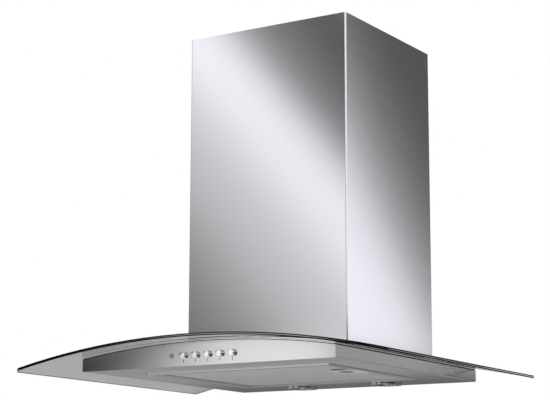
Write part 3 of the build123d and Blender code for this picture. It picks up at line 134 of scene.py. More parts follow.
def seen_directly(tree):
    """1 for rays that show the surround itself: from the camera, off metal or through glass."""
    path = tree.nodes.new("ShaderNodeLightPath")
    first = tree.nodes.new("ShaderNodeMath")
    first.operation = "MAXIMUM"
    tree.links.new(path.outputs["Is Camera Ray"], first.inputs[0])
    tree.links.new(path.outputs["Is Glossy Ray"], first.inputs[1])
    both = tree.nodes.new("ShaderNodeMath")
    both.operation = "MAXIMUM"
    tree.links.new(first.outputs[0], both.inputs[0])
    tree.links.new(path.outputs["Is Transmission Ray"], both.inputs[1])
    return both.outputs[0]


def studio_world():
    world = bpy.data.worlds.new("studio")
    world.use_nodes = True
    tree = world.node_tree
    background = tree.nodes["Background"]
    mix = tree.nodes.new("ShaderNodeMix")
    mix.data_type = "RGBA"
    mix.inputs["A"].default_value = (DIFFUSE_LIGHT, DIFFUSE_LIGHT, DIFFUSE_LIGHT, 1)
    mix.inputs["B"].default_value = (1, 1, 1, 1)
    tree.links.new(seen_directly(tree), mix.inputs["Factor"])
    tree.links.new(mix.outputs["Result"], background.inputs["Color"])
    scene.world = world


def studio_floor():
    mesh = bpy.data.meshes.new("floor")
    shape = bmesh.new()
    bmesh.ops.create_grid(shape, x_segments=1, y_segments=1, size=FLOOR_SIZE)
    shape.to_mesh(mesh)
    shape.free()
    floor = bpy.data.objects.new("floor", mesh)
    scene.collection.objects.link(floor)
    floor.location.z = FLOOR_Z
    material = bpy.data.materials.new("pale floor")
    material.use_nodes = True
    tree = material.node_tree
    diffuse = tree.nodes["Principled BSDF"]
    diffuse.inputs["Base Color"].default_value = (FLOOR_GREY, FLOOR_GREY, FLOOR_GREY, 1)
    diffuse.inputs["Roughness"].default_value = 0.9
    glow = tree.nodes.new("ShaderNodeEmission")
    glow.inputs["Color"].default_value = (1, 1, 1, 1)
    blend = tree.nodes.new("ShaderNodeMixShader")
    share = tree.nodes.new("ShaderNodeMath")
    share.operation = "MULTIPLY"
    share.inputs[1].default_value = FLOOR_GLOW
    tree.links.new(seen_directly(tree), share.inputs[0])
    tree.links.new(share.outputs[0], blend.inputs["Fac"])
    tree.links.new(diffuse.outputs[0], blend.inputs[1])
    tree.links.new(glow.outputs[0], blend.inputs[2])
    tree.links.new(blend.outputs[0], tree.nodes["Material Output"].inputs["Surface"])
    mesh.materials.append(material)


studio_world()
studio_floor()
print("the white surround and the floor are in place")

# %% [markdown]
# A card is a flat shape that glows by a list of levels along one direction, its slant.


# %% Reflection card helpers
STEEL_GAIN = 1.28


def ramp_from(tree, stops, value_out):
    """A colour ramp whose stops are (place from 0 to 1, (red, green, blue))."""
    ramp = tree.nodes.new("ShaderNodeValToRGB")
    ramp.color_ramp.interpolation = "CARDINAL"
    elements = ramp.color_ramp.elements
    while len(elements) < len(stops):
        elements.new(0.5)
    for element, (place, colour) in zip(elements, stops):
        element.position = place
        element.color = (*colour, 1)
    tree.links.new(value_out, ramp.inputs["Fac"])
    return ramp.outputs["Color"]


def flat_card(corners):
    shape = bmesh.new()
    bmesh.ops.contextual_create(shape, geom=[shape.verts.new(c) for c in corners])
    return shape


def frontal_card(y, span, low, high):
    """An upright card across the view, over a span of X."""
    left, right = span
    return flat_card([(left, y, low), (right, y, low), (right, y, high), (left, y, high)])


def sideways_card(x, span, low, high):
    """An upright card beside the hood, over a span of Y."""
    near, far = span
    return flat_card([(x, near, low), (x, far, low), (x, far, high), (x, near, high)])


def reflection_card(name, shape, slant, levels, tint=0.0, through_glass=False):
    """Makes a shape glow for reflections, by stops of (distance along slant, level)."""
    start, end = levels[0][0], levels[-1][0]
    stops = [((at - start) / (end - start), (level, level, level * (1 + tint * level)))
             for at, level in levels]
    mesh = bpy.data.meshes.new(name)
    shape.to_mesh(mesh)
    shape.free()
    card = bpy.data.objects.new(name, mesh)
    scene.collection.objects.link(card)
    material = bpy.data.materials.new(name)
    material.use_nodes = True
    tree = material.node_tree
    tree.nodes.remove(tree.nodes["Principled BSDF"])
    place = tree.nodes.new("ShaderNodeTexCoord")
    dot = tree.nodes.new("ShaderNodeVectorMath")
    dot.operation = "DOT_PRODUCT"
    dot.inputs[1].default_value = slant
    tree.links.new(place.outputs["Object"], dot.inputs[0])
    span = tree.nodes.new("ShaderNodeMapRange")
    span.inputs["From Min"].default_value = start
    span.inputs["From Max"].default_value = end
    tree.links.new(dot.outputs["Value"], span.inputs["Value"])
    glow = tree.nodes.new("ShaderNodeEmission")
    glow.inputs["Strength"].default_value = STEEL_GAIN
    tree.links.new(ramp_from(tree, stops, span.outputs["Result"]), glow.inputs["Color"])
    tree.links.new(glow.outputs[0], tree.nodes["Material Output"].inputs["Surface"])
    mesh.materials.append(material)
    for kind in ("camera", "diffuse", "transmission", "volume_scatter", "shadow"):
        setattr(card, "visible_" + kind, through_glass and kind == "transmission")
    return card


# %% [markdown]
# The front card gives the flue its slanting band and the side card gives its flank a fade. The
# strips below them do the same for the fascia and the sides of the body. A low arch just inside
# the front card is what the front edge of the bent glass mirrors, and the underside mirrors a card
# at the wall. The levels were read off by following the camera's view of each face to its card.

# %% Reflection cards
GROUND, FOOT, LOW, HIGH = -0.6, 0.113, 0.165, 1.6
FRONT_Y = -1.25
FRONT_SPAN = (-1.5, 1.6)
FRONT_SLANT = Vector((0.758, 0, 0.651))
FRONT_ZERO = FRONT_SLANT.dot(Vector((-0.797, 0, 0.854)))
FRONT_LEVELS = [(-0.60, 0.12), (-0.36, 0.24), (-0.25, 0.43), (-0.1, 0.64), (-0.01, 0.88),
                (0.05, 0.72), (0.10, 0.24), (0.17, 0.09), (0.31, 0.06), (0.42, 0.5),
                (0.6, 0.75), (2.4, 0.8)]
FRONT_TINT = 0.08
FASCIA_LEVELS = [(-1.1, 0.0), (-0.87, 0.02), (-0.81, 0.07), (-0.75, 0.15), (-0.70, 0.28),
                 (-0.65, 0.46), (-0.56, 0.68), (-0.45, 0.77), (-0.29, 0.72), (-0.22, 0.16),
                 (-0.12, 0.06), (1.6, 0.12)]
SIDE_X = 0.75
SIDE_SPAN = (-1.0, 2.0)
SIDE_SLANT = Vector((0, 0.69, 0.72))
SIDE_ZERO = SIDE_SLANT.dot(Vector((0, 0.8283, 0.332)))
SIDE_LEVELS = [(-1.4, 0.75), (-0.75, 0.75), (-0.35, 0.86), (0.08, 0.86), (0.14, 0.72),
               (0.22, 0.41), (0.31, 0.215), (0.40, 0.13), (0.53, 0.07), (0.9, 0.09)]
SIDE_TINT = 0.09
SIDE_LOW_LEVELS = [(-1.0, 0.12), (0.2, 0.30), (0.5, 0.34), (1.2, 0.23), (2.0, 0.2)]
SIDE_FOOT_LEVELS = [(-1.0, 0.05), (2.0, 0.05)]
ARCH_RADIUS = 1.330
ARCH_CROWN_Z = 0.03281
GLASS_HALF = 0.002
ARC_Y = -1.248
ARC_SPAN = 0.62
ARC_STEPS = 24
ARC_HEIGHT = 0.025
ARC_LEVELS = [(-1.0, 0.0), (-0.67, 0.0), (-0.63, 0.10), (-0.587, 0.38), (-0.53, 0.64),
              (-0.40, 0.60), (-0.30, 0.66), (-0.24, 0.15), (-0.18, 0.0)]
MIRROR_SCALE = 1.4385
MIRROR_X = -0.5616
MIRROR_Z = 0.0959
WALL_Y = 0.03
WALL_SPAN = (-1.2, 0.8)
WALL_FOOT, WALL_TOP = -0.5, -0.001
WALL_LEVELS = [(0.0, 0.10), (0.014, 0.13), (0.03, 0.25), (0.045, 0.25), (0.06, 0.22),
               (0.30, 0.25)]
LEFT_X, LEFT_FOOT = -1.0, -0.1
LEFT_SPAN = (-1.0, 0.4)
LEFT_SLANT = Vector((0, -0.6, 0.8))
REAR_Y, REAR_FOOT = 1.6, 0.1
REAR_SPAN = (-0.8, 0.7)
REAR_SLANT = Vector((0.6, 0, 0.8))
OTHER_LEVELS = [(-1.4, 0.75), (-0.6, 0.62), (-0.1, 0.25), (0.3, 0.14), (0.7, 0.36), (1.6, 0.7)]
TO_THE_RIGHT, TO_THE_WALL, DOWN = Vector((1, 0, 0)), Vector((0, 1, 0)), Vector((0, 0, -1))


def moved(levels, zero):
    """Shifts levels given from a point on a card, so that they count from the frame's origin."""
    return [(zero + at, level) for at, level in levels]


def wall_of_cards():
    """The front and side cards stand upright, each with lower strips of its own."""
    reflection_card("front_card", frontal_card(FRONT_Y, FRONT_SPAN, LOW, HIGH), FRONT_SLANT,
                    moved(FRONT_LEVELS, FRONT_ZERO), FRONT_TINT, through_glass=True)
    reflection_card("fascia_card", frontal_card(FRONT_Y, FRONT_SPAN, GROUND, LOW), TO_THE_RIGHT,
                    FASCIA_LEVELS, through_glass=True)
    reflection_card("side_card", sideways_card(SIDE_X, SIDE_SPAN, LOW, HIGH), SIDE_SLANT,
                    moved(SIDE_LEVELS, SIDE_ZERO), SIDE_TINT)
    reflection_card("side_low_card", sideways_card(SIDE_X, SIDE_SPAN, FOOT, LOW), TO_THE_WALL,
                    SIDE_LOW_LEVELS)
    reflection_card("side_foot_card", sideways_card(SIDE_X, SIDE_SPAN, GROUND, FOOT), TO_THE_WALL,
                    SIDE_FOOT_LEVELS)


def arc_card():
    """What the front edge of the bent glass mirrors: the arch of the edge, scaled and shifted."""
    shape = bmesh.new()
    bmesh.ops.create_grid(shape, x_segments=ARC_STEPS, y_segments=1, size=0.5)
    for vert in shape.verts:
        x = vert.co.x * ARC_SPAN
        z = math.sqrt((ARCH_RADIUS + GLASS_HALF) ** 2 - x * x) - ARCH_RADIUS + ARCH_CROWN_Z
        rise = (vert.co.y + 0.5) * ARC_HEIGHT
        vert.co = (MIRROR_SCALE * x + MIRROR_X, ARC_Y, MIRROR_SCALE * z + MIRROR_Z + rise)
    reflection_card("arc_card", shape, TO_THE_RIGHT, ARC_LEVELS, through_glass=True)


def wall_card():
    """Just behind the wall plane and below the hood: the underside mirrors it."""
    reflection_card("wall_card", frontal_card(WALL_Y, WALL_SPAN, WALL_FOOT, WALL_TOP), DOWN,
                    WALL_LEVELS)


def far_cards():
    """Left and rear cards, for whoever walks round the hood."""
    reflection_card("left_card", sideways_card(LEFT_X, LEFT_SPAN, LEFT_FOOT, HIGH), LEFT_SLANT,
                    OTHER_LEVELS)
    reflection_card("rear_card", frontal_card(REAR_Y, REAR_SPAN, REAR_FOOT, HIGH), REAR_SLANT,
                    OTHER_LEVELS)


wall_of_cards()
arc_card()
wall_card()
far_cards()
print("the reflection cards are up")

# %% [markdown]
# Two square lamps add the soft light that is not mirrored: a key from the left and a fill from
# the right.


# %% Lamps
def soft_lamp(name, place, target, size, power):
    data = bpy.data.lights.new(name, "AREA")
    data.shape = "SQUARE"
    data.size = size
    data.energy = power
    lamp = bpy.data.objects.new(name, data)
    scene.collection.objects.link(lamp)
    lamp.location = place
    aim = Vector(target) - Vector(place)
    lamp.rotation_euler = aim.to_track_quat("-Z", "Y").to_euler()
    return lamp


soft_lamp("key lamp", (-1.6, -2.2, 2.0), target=(0, -0.2, 0.2), size=1.2, power=26)
soft_lamp("fill lamp", (2.2, -1.6, 1.0), target=(0, -0.2, 0.1), size=1.4, power=12)
print("the lamps are up")

# %% [markdown]
# ## Finishes
# Each finish is one function that takes the few values that make it itself. Grain and speckle
# come from noise on Object coordinates, stretched along the way the sheet was brushed.


# %% Finish helpers
NOISE_LOW, NOISE_HIGH = 0.3, 0.7
SCRATCH_DEPTH = 0.0002
MOULD_DEPTH = 0.0001


def new_finish(name, colour, metallic=0.0, roughness=0.5):
    """A Principled material and its tree, with plain values on the shader's own sockets."""
    material = bpy.data.materials.new(name)
    material.use_nodes = True
    shader = material.node_tree.nodes["Principled BSDF"]
    shader.inputs["Base Color"].default_value = (*colour, 1)
    shader.inputs["Metallic"].default_value = metallic
    shader.inputs["Roughness"].default_value = roughness
    return material, material.node_tree, shader


def stretched_noise(tree, scale, detail=2.0):
    """Noise on Object coordinates, its scale given for each axis."""
    place = tree.nodes.new("ShaderNodeTexCoord")
    mapping = tree.nodes.new("ShaderNodeMapping")
    mapping.inputs["Scale"].default_value = scale
    noise = tree.nodes.new("ShaderNodeTexNoise")
    noise.inputs["Scale"].default_value = 1
    noise.inputs["Detail"].default_value = detail
    tree.links.new(place.outputs["Object"], mapping.inputs["Vector"])
    tree.links.new(mapping.outputs["Vector"], noise.inputs["Vector"])
    return noise.outputs["Fac"]


def spread(tree, value, low, high):
    """Maps a noise value onto a narrow span."""
    span = tree.nodes.new("ShaderNodeMapRange")
    span.inputs["From Min"].default_value = NOISE_LOW
    span.inputs["From Max"].default_value = NOISE_HIGH
    span.inputs["To Min"].default_value = low
    span.inputs["To Max"].default_value = high
    tree.links.new(value, span.inputs["Value"])
    return span.outputs["Result"]


def tint_between(tree, value, dark, light):
    """Mixes two colours by a noise value."""
    mix = tree.nodes.new("ShaderNodeMix")
    mix.data_type = "RGBA"
    mix.inputs["A"].default_value = (*dark, 1)
    mix.inputs["B"].default_value = (*light, 1)
    tree.links.new(value, mix.inputs["Factor"])
    return mix.outputs["Result"]


def add_bump(tree, shader, value, strength, distance):
    bump = tree.nodes.new("ShaderNodeBump")
    bump.inputs["Strength"].default_value = strength
    bump.inputs["Distance"].default_value = distance
    tree.links.new(value, bump.inputs["Height"])
    tree.links.new(bump.outputs["Normal"], shader.inputs["Normal"])


def brushed_metal(name, colour, roughness, grain, depth=0.03, contrast=0.06):
    """Sheet brushed one way: fine scratches across the grain, faint clouds along it."""
    material, tree, shader = new_finish(name, colour, 1.0, roughness)
    scratches = stretched_noise(tree, grain, 3.0)
    low = tuple(c * (1 - contrast) for c in colour)
    high = tuple(min(1.0, c * (1 + contrast)) for c in colour)
    tree.links.new(tint_between(tree, scratches, low, high), shader.inputs["Base Color"])
    rough = spread(tree, scratches, roughness * 0.9, roughness * 1.1)
    tree.links.new(rough, shader.inputs["Roughness"])
    add_bump(tree, shader, scratches, depth, SCRATCH_DEPTH)
    return material


def moulded_plastic(name, colour, roughness=0.5, depth=0.15, contrast=0.08):
    """Moulded plastic with a fine spark-eroded grain."""
    material, tree, shader = new_finish(name, colour, 0.0, roughness)
    grain = stretched_noise(tree, (900, 900, 900))
    low, high = 1 - contrast, 1 + contrast
    dark = tuple(c * low for c in colour)
    light = tuple(min(1.0, c * high) for c in colour)
    tree.links.new(tint_between(tree, grain, dark, light), shader.inputs["Base Color"])
    rough = spread(tree, grain, roughness * low, roughness * high)
    tree.links.new(rough, shader.inputs["Roughness"])
    add_bump(tree, shader, grain, depth, MOULD_DEPTH)
    return material


# %% [markdown]
# Four finishes need more than that. Zinc has a patchwork of crystals. Smoked glass carries its
# grey in its thickness. The seal changes from black to bright at a height above the arch, and
# higher up on the two sides. Its black foot is the rubber's own black, drawn as high as a
# painted shadow line along the fascia's top. Frosted lamp glass is half a mirror, because of
# the reflector behind.

# %% Special finishes
CRYSTALS_PER_METRE = 140
GLASS_GREY = 0.41
GLASS_DENSITY = 190
# Below these heights above the arch the seal stays black: black rubber, set as high as a painted
# shadow line along the fascia's top.
SEAL_SHADOW_FOOT = 0.95 * MM
SEAL_SIDE_SHADOW_FOOT = 1.65 * MM
SEAL_SIDE = 206.0 * MM
SEAL_SIDE_BLEND = 0.1 * MM
SEAL_BLACK_AND_SHADOW = (0.004, 0.004, 0.004)
SEAL_BRIGHT = (0.96, 0.96, 0.97)


def galvanised():
    """Zinc coat with its dull spangle, a soft patchwork of crystals."""
    material, tree, shader = new_finish("zinc coated sheet", (0.56, 0.57, 0.58), 1.0, 0.42)
    place = tree.nodes.new("ShaderNodeTexCoord")
    crystals = tree.nodes.new("ShaderNodeTexVoronoi")
    crystals.inputs["Scale"].default_value = CRYSTALS_PER_METRE
    tree.links.new(place.outputs["Object"], crystals.inputs["Vector"])
    grey = tree.nodes.new("ShaderNodeRGBToBW")
    tree.links.new(crystals.outputs["Color"], grey.inputs["Color"])
    tone = tint_between(tree, grey.outputs["Val"], (0.53, 0.54, 0.55), (0.61, 0.62, 0.64))
    tree.links.new(tone, shader.inputs["Base Color"])
    tree.links.new(spread(tree, grey.outputs["Val"], 0.42, 0.47), shader.inputs["Roughness"])
    return material


def smoked_glass():
    """Grey tempered glass: the grey is in its thickness, so long looks into an edge go black."""
    material, tree, shader = new_finish("smoked glass", (0.97, 0.97, 0.97), 0.0, 0.0)
    shader.inputs["IOR"].default_value = 1.5
    shader.inputs["Transmission Weight"].default_value = 1.0
    inside = tree.nodes.new("ShaderNodeVolumeAbsorption")
    inside.inputs["Color"].default_value = (GLASS_GREY, GLASS_GREY, GLASS_GREY, 1)
    inside.inputs["Density"].default_value = GLASS_DENSITY
    tree.links.new(inside.outputs[0], tree.nodes["Material Output"].inputs["Volume"])
    return material


def seal_with_painted_shadow():
    """Black rubber, bright along its top; the black foot is a painted shadow line at the fascia.
    """
    material, tree, shader = new_finish("seal with painted shadow line", SEAL_BLACK_AND_SHADOW, 0.0, 0.2)
    shader.inputs["Specular IOR Level"].default_value = 0.1
    place = tree.nodes.new("ShaderNodeTexCoord")
    across = tree.nodes.new("ShaderNodeVectorMath")
    across.operation = "MULTIPLY_ADD"
    across.inputs[1].default_value = (1, 0, 1)
    across.inputs[2].default_value = (0, 0, ARCH_RADIUS - ARCH_CROWN_Z)
    tree.links.new(place.outputs["Object"], across.inputs[0])
    radius = tree.nodes.new("ShaderNodeVectorMath")
    radius.operation = "LENGTH"
    tree.links.new(across.outputs["Vector"], radius.inputs[0])
    split = tree.nodes.new("ShaderNodeSeparateXYZ")
    tree.links.new(place.outputs["Object"], split.inputs[0])
    aside = tree.nodes.new("ShaderNodeMath")
    aside.operation = "ABSOLUTE"
    tree.links.new(split.outputs["X"], aside.inputs[0])
    foot = tree.nodes.new("ShaderNodeMapRange")
    foot.inputs["From Min"].default_value = SEAL_SIDE - SEAL_SIDE_BLEND
    foot.inputs["From Max"].default_value = SEAL_SIDE
    foot.inputs["To Min"].default_value = ARCH_RADIUS + SEAL_SHADOW_FOOT
    foot.inputs["To Max"].default_value = ARCH_RADIUS + SEAL_SIDE_SHADOW_FOOT
    tree.links.new(aside.outputs[0], foot.inputs["Value"])
    # Above the foot the seal is bright; below it the black rubber stands in for a painted shadow
    # line.
    above = tree.nodes.new("ShaderNodeMath")
    above.operation = "GREATER_THAN"
    tree.links.new(radius.outputs["Value"], above.inputs[0])
    tree.links.new(foot.outputs["Result"], above.inputs[1])
    lip = above.outputs[0]
    tone = tint_between(tree, lip, SEAL_BLACK_AND_SHADOW, SEAL_BRIGHT)
    tree.links.new(tone, shader.inputs["Base Color"])
    tree.links.new(lip, shader.inputs["Metallic"])
    return material


def ground_glass(name, colour, roughness):
    """Frosted lamp glass over an aluminised reflector."""
    material, tree, shader = new_finish(name, colour, 0.85, roughness)
    shader.inputs["Transmission Weight"].default_value = 0.5
    grain = stretched_noise(tree, (700, 700, 700))
    dark = tuple(c * 0.9 for c in colour)
    tree.links.new(tint_between(tree, grain, dark, colour), shader.inputs["Base Color"])
    add_bump(tree, shader, grain, 0.05, SCRATCH_DEPTH)
    return material


# %% [markdown]
# The finishes have the names of the record's material slots. The grain of the tall sheets runs
# level all round, and that of the fascia, the filter frame and the bare steel runs along X.

# %% Finishes by slot
ALONG_XY = (12, 12, 5000)
ALONG_X = (12, 4000, 4000)
finishes = {
    "steel": brushed_metal("brushed steel", (0.78, 0.78, 0.785), 0.13, ALONG_XY),
    "zinc": galvanised(),
    "screw": brushed_metal("plated screw", (0.66, 0.66, 0.66), 0.25, (300, 300, 300), 0.02),
    "bare_steel": brushed_metal("ground steel", (0.62, 0.62, 0.63), 0.22, ALONG_X),
    "smoked_glass": smoked_glass(),
    "seal": seal_with_painted_shadow(),
    "blower_plastic": moulded_plastic("black housing plastic", (0.035, 0.036, 0.04), 0.5),
    "spigot_plastic": moulded_plastic("black collar plastic", (0.045, 0.046, 0.05), 0.5),
    "flap_plastic": moulded_plastic("grey flap plastic", (0.22, 0.22, 0.225), 0.5),
    "box_plastic": moulded_plastic("black box plastic", (0.02, 0.02, 0.021), 0.45),
    "motor_case": moulded_plastic("grey motor paint", (0.13, 0.135, 0.14), 0.35),
    "capacitor_case": moulded_plastic("white can plastic", (0.72, 0.72, 0.69), 0.4),
    "transformer_case": moulded_plastic("white case plastic", (0.75, 0.75, 0.72), 0.45),
    "switch_plastic": moulded_plastic("black switch plastic", (0.03, 0.03, 0.03), 0.45),
    "indicator": moulded_plastic("clear grey lens", (0.29, 0.29, 0.285), 0.22, 0.02),
    "button_chrome": brushed_metal("polished chrome", (0.92, 0.92, 0.93), 0.06,
                                   (200, 200, 200), 0.0),
    "filter_aluminium": brushed_metal("satin aluminium", (0.70, 0.70, 0.71), 0.32, ALONG_X),
    "mesh_aluminium": brushed_metal("mesh aluminium", (0.82, 0.82, 0.825), 0.35,
                                    (400, 400, 400)),
    "latch_grey": moulded_plastic("silver grey plastic", (0.58, 0.58, 0.59), 0.3),
    "lamp_trim": brushed_metal("satin lamp trim", (0.44, 0.44, 0.445), 0.2,
                               (300, 300, 300), 0.01),
    "lamp_glass": ground_glass("frosted lamp glass", (0.90, 0.91, 0.90), 0.14),
    "socket_ceramic": moulded_plastic("white ceramic", (0.80, 0.79, 0.75), 0.6),
}
own_finishes = {
    "front_fascia": brushed_metal("satin fascia steel", (0.78, 0.78, 0.785), 0.15, ALONG_X),
}


def dress_nodes():
    """Every measured part takes its own finish, or else that of its slot."""
    for part in frame["record"]["subparts"]:
        mesh = nodes[part["node"]].data
        mesh.materials.clear()
        finish = own_finishes.get(part["node"]) or finishes[part["material_slot"]]
        mesh.materials.append(finish)


dress_nodes()
print("dressed", len(nodes), "nodes in", len(finishes), "finishes")

# %% [markdown]
# ## Working on copies
# A measured part comes in as loose triangles with hard facets, and it stays as it is. To soften
# one, a copy of its mesh is merged, its flat areas are joined again, and its sharp edges get a
# small radius. Round parts are spun from a profile instead, because a spin is smooth from the
# start.

# %% Mesh helpers
SHARP_ANGLE = math.radians(35)
FLAT_ANGLE = math.radians(0.3)
MERGE_DISTANCE = 0.002 * MM
SPIN_MERGE_DISTANCE = 0.001 * MM


def merged_copy(node):
    """A copy of a measured part with its triangles merged and its flat areas joined."""
    shape = bmesh.new()
    shape.from_mesh(nodes[node].data)
    bmesh.ops.remove_doubles(shape, verts=shape.verts, dist=MERGE_DISTANCE)
    bmesh.ops.dissolve_limit(shape, angle_limit=FLAT_ANGLE, verts=shape.verts, edges=shape.edges)
    return shape


def sharp_edges(shape):
    return [edge for edge in shape.edges
            if edge.is_manifold and edge.calc_face_angle() > SHARP_ANGLE]


def round_edges(shape, width):
    """Rounds every sharp edge."""
    bmesh.ops.bevel(shape, geom=sharp_edges(shape), offset=width, segments=2, profile=0.5,
                    affect="EDGES", material=-1)


def spun(profile, steps=72):
    """Turns a profile of (radius, height) points in mm about the vertical axis.

    A profile that doesn't start on the axis is closed first.
    """
    shape = bmesh.new()
    verts = [shape.verts.new((radius * MM, 0, height * MM)) for radius, height in profile]
    edges = [shape.edges.new(pair) for pair in zip(verts, verts[1:])]
    if profile[0][0] > 0:
        edges.append(shape.edges.new((verts[-1], verts[0])))
    bmesh.ops.spin(shape, geom=verts + edges, cent=(0, 0, 0), axis=(0, 0, 1),
                   angle=math.tau, steps=steps, use_merge=True)
    bmesh.ops.remove_doubles(shape, verts=shape.verts, dist=SPIN_MERGE_DISTANCE)
    bmesh.ops.recalc_face_normals(shape, faces=shape.faces)
    return shape


def place(shape, x, y, z, facing_front=False):
    """Moves a shape to its place in mm; facing_front first turns its top towards the front."""
    move = Matrix.Translation((x * MM, y * MM, z * MM))
    if facing_front:
        move = move @ Matrix.Rotation(math.radians(90), 4, "X")
    bmesh.ops.transform(shape, matrix=move, verts=shape.verts)
    return shape


def add_piece(shape, name, finish, stands_for=(), body=None):
    """Makes a bmesh a piece: smooth over gentle bends, sharp over corners."""
    for face in shape.faces:
        face.smooth = True
    for edge in shape.edges:
        edge.smooth = not edge.is_manifold or edge.calc_face_angle() < SHARP_ANGLE
    mesh = bpy.data.meshes.new(name)
    shape.to_mesh(mesh)
    shape.free()
    piece = bpy.data.objects.new(name, mesh)
    scene.collection.objects.link(piece)
    mesh.materials.append(finishes[finish])
    if stands_for:
        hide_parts(*stands_for)
    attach(piece, body or nodes[stands_for[0]]["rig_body"])
    print(name, len(mesh.polygons), "faces")
    return piece


# %% [markdown]
# ## Glass canopy
# The pane is one sheet of bent, toughened glass. The middle of its edge is ground and its two rims
# are polished, and that is why the edge shows as a fine silvery line between two dark ones. So the
# pane is a copy whose edge is inset along both rims, and the strip and the rims take finishes of
# their own. The rims stay square: even a fine bevel along clear glass lights up as a white thread.

# %% Glass canopy
POLISHED_RIM = 1.65
EDGE_SLOPE = 0.3
GROUND_STRIP, RIM = 1, 2


def edge_finish(name, dark, light, metallic, roughness, specular=0.5):
    """A finish for one strip of the edge, with the faint grain that grinding leaves."""
    material, tree, shader = new_finish(name, light, metallic, roughness)
    shader.inputs["Specular IOR Level"].default_value = specular
    grain = stretched_noise(tree, (600, 600, 600))
    tree.links.new(tint_between(tree, grain, dark, light), shader.inputs["Base Color"])
    return material


def ground_edge():
    """The middle strip, silvery where it mirrors something bright."""
    return edge_finish("ground glass edge", (0.43, 0.44, 0.44), (0.49, 0.50, 0.50), 1.0, 0.05)


def polished_rim():
    """The rims, black because they look along the whole width of the smoked pane."""
    return edge_finish("polished glass rim", (0.003, 0.003, 0.003), (0.006, 0.006, 0.006),
                       0.0, 0.04, specular=0.1)


def glass_pane():
    shape = merged_copy("glass_canopy")
    edge_faces = [face for face in shape.faces if abs(face.normal.z) < EDGE_SLOPE]
    rims = bmesh.ops.inset_region(shape, faces=edge_faces, thickness=POLISHED_RIM * MM,
                                  use_boundary=True, use_even_offset=True)["faces"]
    for face in edge_faces:
        face.material_index = GROUND_STRIP
    for face in rims:
        face.material_index = RIM
    pane = add_piece(shape, "glass_pane", "smoked_glass", ["glass_canopy"])
    pane.data.materials.append(ground_edge())
    pane.data.materials.append(polished_rim())
    return pane


glass_pane()

# %% [markdown]
# ## Push buttons
# Each button is a chromed cap, turned and polished: a straight side, a small radius and an almost
# flat face. The face mirrors the bright room in front and the side mirrors the dark one at the
# right. The collar and stem behind the fascia are part of the same turned profile.

# %% Push buttons
BUTTON_COUNT = 5
BUTTON_Z = 14.6
BUTTON_PITCH = 20.0
FIRST_BUTTON_X = -32.0
FASCIA_Y = -416.0
BUTTON_PROFILE = [(0, -17.8), (2.5, -17.8), (2.5, -3.3), (6.0, -3.3), (6.0, -2.1), (4.75, -2.1),
                  (4.75, 4.9), (4.7, 5.06), (4.55, 5.15), (4.2, 5.17), (0, 5.2)]


def push_button(number):
    shape = spun(BUTTON_PROFILE, steps=48)
    x = FIRST_BUTTON_X + (number - 1) * BUTTON_PITCH
    place(shape, x, FASCIA_Y, BUTTON_Z, facing_front=True)
    node = f"button_{number}"
    return add_piece(shape, f"chrome_{node}", "button_chrome", [node])


for number in range(1, BUTTON_COUNT + 1):
    push_button(number)

# %% [markdown]
# Under each button is a short printed stroke. It is a film of ink, so it stands less than a tenth
# of a millimetre proud and has square ends.

# %% Button marks
MARK_Z = 6.6
MARK_SIZE = (0.9, 0.08, 3.8)
MARK_MIDDLE_Y = FASCIA_Y - MARK_SIZE[1] / 2


def button_marks():
    shape = bmesh.new()
    for number in range(BUTTON_COUNT):
        stroke = bmesh.ops.create_cube(shape, size=MM)["verts"]
        bmesh.ops.scale(shape, vec=MARK_SIZE, verts=stroke)
        x = FIRST_BUTTON_X + number * BUTTON_PITCH
        bmesh.ops.translate(shape, verts=stroke, vec=Vector((x, MARK_MIDDLE_Y, MARK_Z)) * MM)
    return add_piece(shape, "button_marks", "switch_plastic", body="hood")


button_marks()

# %% [markdown]
# ## Lamps
# A lamp is a turned satin ring around a pressed glass. The ring is nearly flat, so it mirrors the
# dark wall and only its rim catches a thin glint. The glass is frosted and off, so it looks grey,
# and the polished bead in its middle is the one bright spot.

# %% Lamps of the hood
LAMP_PLACES = {"left": (-74.0, -35.0), "right": (74.0, -35.0)}
RING_PROFILE = [(17.0, -0.6), (17.1, -1.6), (17.4, -2.1), (18.0, -2.2), (23.6, -2.2), (24.2, -2.0),
                (24.5, -1.4), (24.5, 0.0), (20.5, 0.0), (20.5, 8.0), (19.5, 8.0), (19.5, 0.0),
                (17.0, 0.0)]
GLASS_PROFILE = [(0, -1.4), (3.0, -1.36), (3.5, -1.2), (5.0, 0.15), (5.6, 0.25), (11.0, 0.25),
                 (16.0, 0.2), (19.2, 0.2), (19.2, 1.6), (0, 1.6)]


def hood_lamp(side):
    x, y = LAMP_PLACES[side]
    ring = place(spun(RING_PROFILE), x, y, 0)
    add_piece(ring, f"lamp_ring_{side}", "lamp_trim", [f"lamp_bezel_{side}"])
    glass = place(spun(GLASS_PROFILE, steps=48), x, y, 0)
    add_piece(glass, f"lamp_glass_{side}", "lamp_glass", [f"lamp_lens_{side}"])


for side in LAMP_PLACES:
    hood_lamp(side)

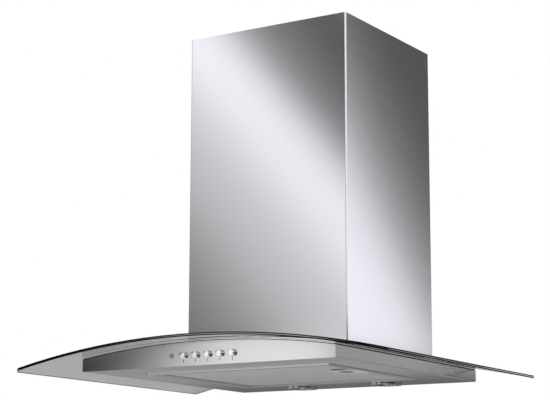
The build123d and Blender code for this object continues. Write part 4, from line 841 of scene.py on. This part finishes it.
# %% [markdown]
# ## Grease filter
# The sheet that faces the cooker is expanded metal: it is slit in rows and pulled until the slits
# open to diamonds. Here a grid is poked and its old edges dissolved, which leaves diamonds; each
# is inset and its middle deleted, which leaves the strands. They slope inwards a little, as pulled
# strands do, and that slope gives the sheet its sparkle. The latch's cup is a moulding, so its
# edges get a small radius.

# %% Grease filter
MESH_MARGIN = 0.1
DIAMOND = (8.0, 4.4)
STRAND_WIDTH = 1.1
STRAND_SLOPE = 0.25
STRAND_THICKNESS = 0.4
CUP_RADIUS = 0.3


def expanded_sheet(node, cell, strand, thickness):
    """Diamond sheet in a node's place; cell is a diamond's length and width in mm."""
    low, high = (Vector(corner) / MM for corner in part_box(node))
    width, depth = high.x - low.x - 2 * MESH_MARGIN, high.y - low.y - 2 * MESH_MARGIN
    shape = bmesh.new()
    bmesh.ops.create_grid(shape, x_segments=round(width / cell[0]),
                          y_segments=round(depth / cell[1]), size=0.5)
    old_edges = [edge for edge in shape.edges if not edge.is_boundary]
    bmesh.ops.poke(shape, faces=shape.faces)
    bmesh.ops.dissolve_edges(shape, edges=old_edges, use_verts=False)
    bmesh.ops.scale(shape, vec=(width * MM, depth * MM, 1), verts=shape.verts)
    middle = (low + high) / 2
    bmesh.ops.translate(shape, verts=shape.verts,
                        vec=Vector((middle.x, middle.y, middle.z + thickness / 2)) * MM)
    holes = list(shape.faces)
    bmesh.ops.inset_individual(shape, faces=holes, thickness=strand / 2 * MM,
                               depth=-STRAND_SLOPE * MM, use_even_offset=True)
    bmesh.ops.delete(shape, geom=holes, context="FACES")
    bmesh.ops.recalc_face_normals(shape, faces=shape.faces)
    bmesh.ops.solidify(shape, geom=list(shape.faces), thickness=thickness * MM)
    bmesh.ops.recalc_face_normals(shape, faces=shape.faces)
    return shape


def softened(node, width, name, finish):
    """A measured part again, with every sharp edge rounded a little."""
    shape = merged_copy(node)
    round_edges(shape, width * MM)
    return add_piece(shape, name, finish, [node])


lower = expanded_sheet("filter_mesh_lower", DIAMOND, STRAND_WIDTH, STRAND_THICKNESS)
add_piece(lower, "lower_filter_sheet", "mesh_aluminium", ["filter_mesh_lower"])
softened("latch_housing", CUP_RADIUS, "latch_cup", "latch_grey")
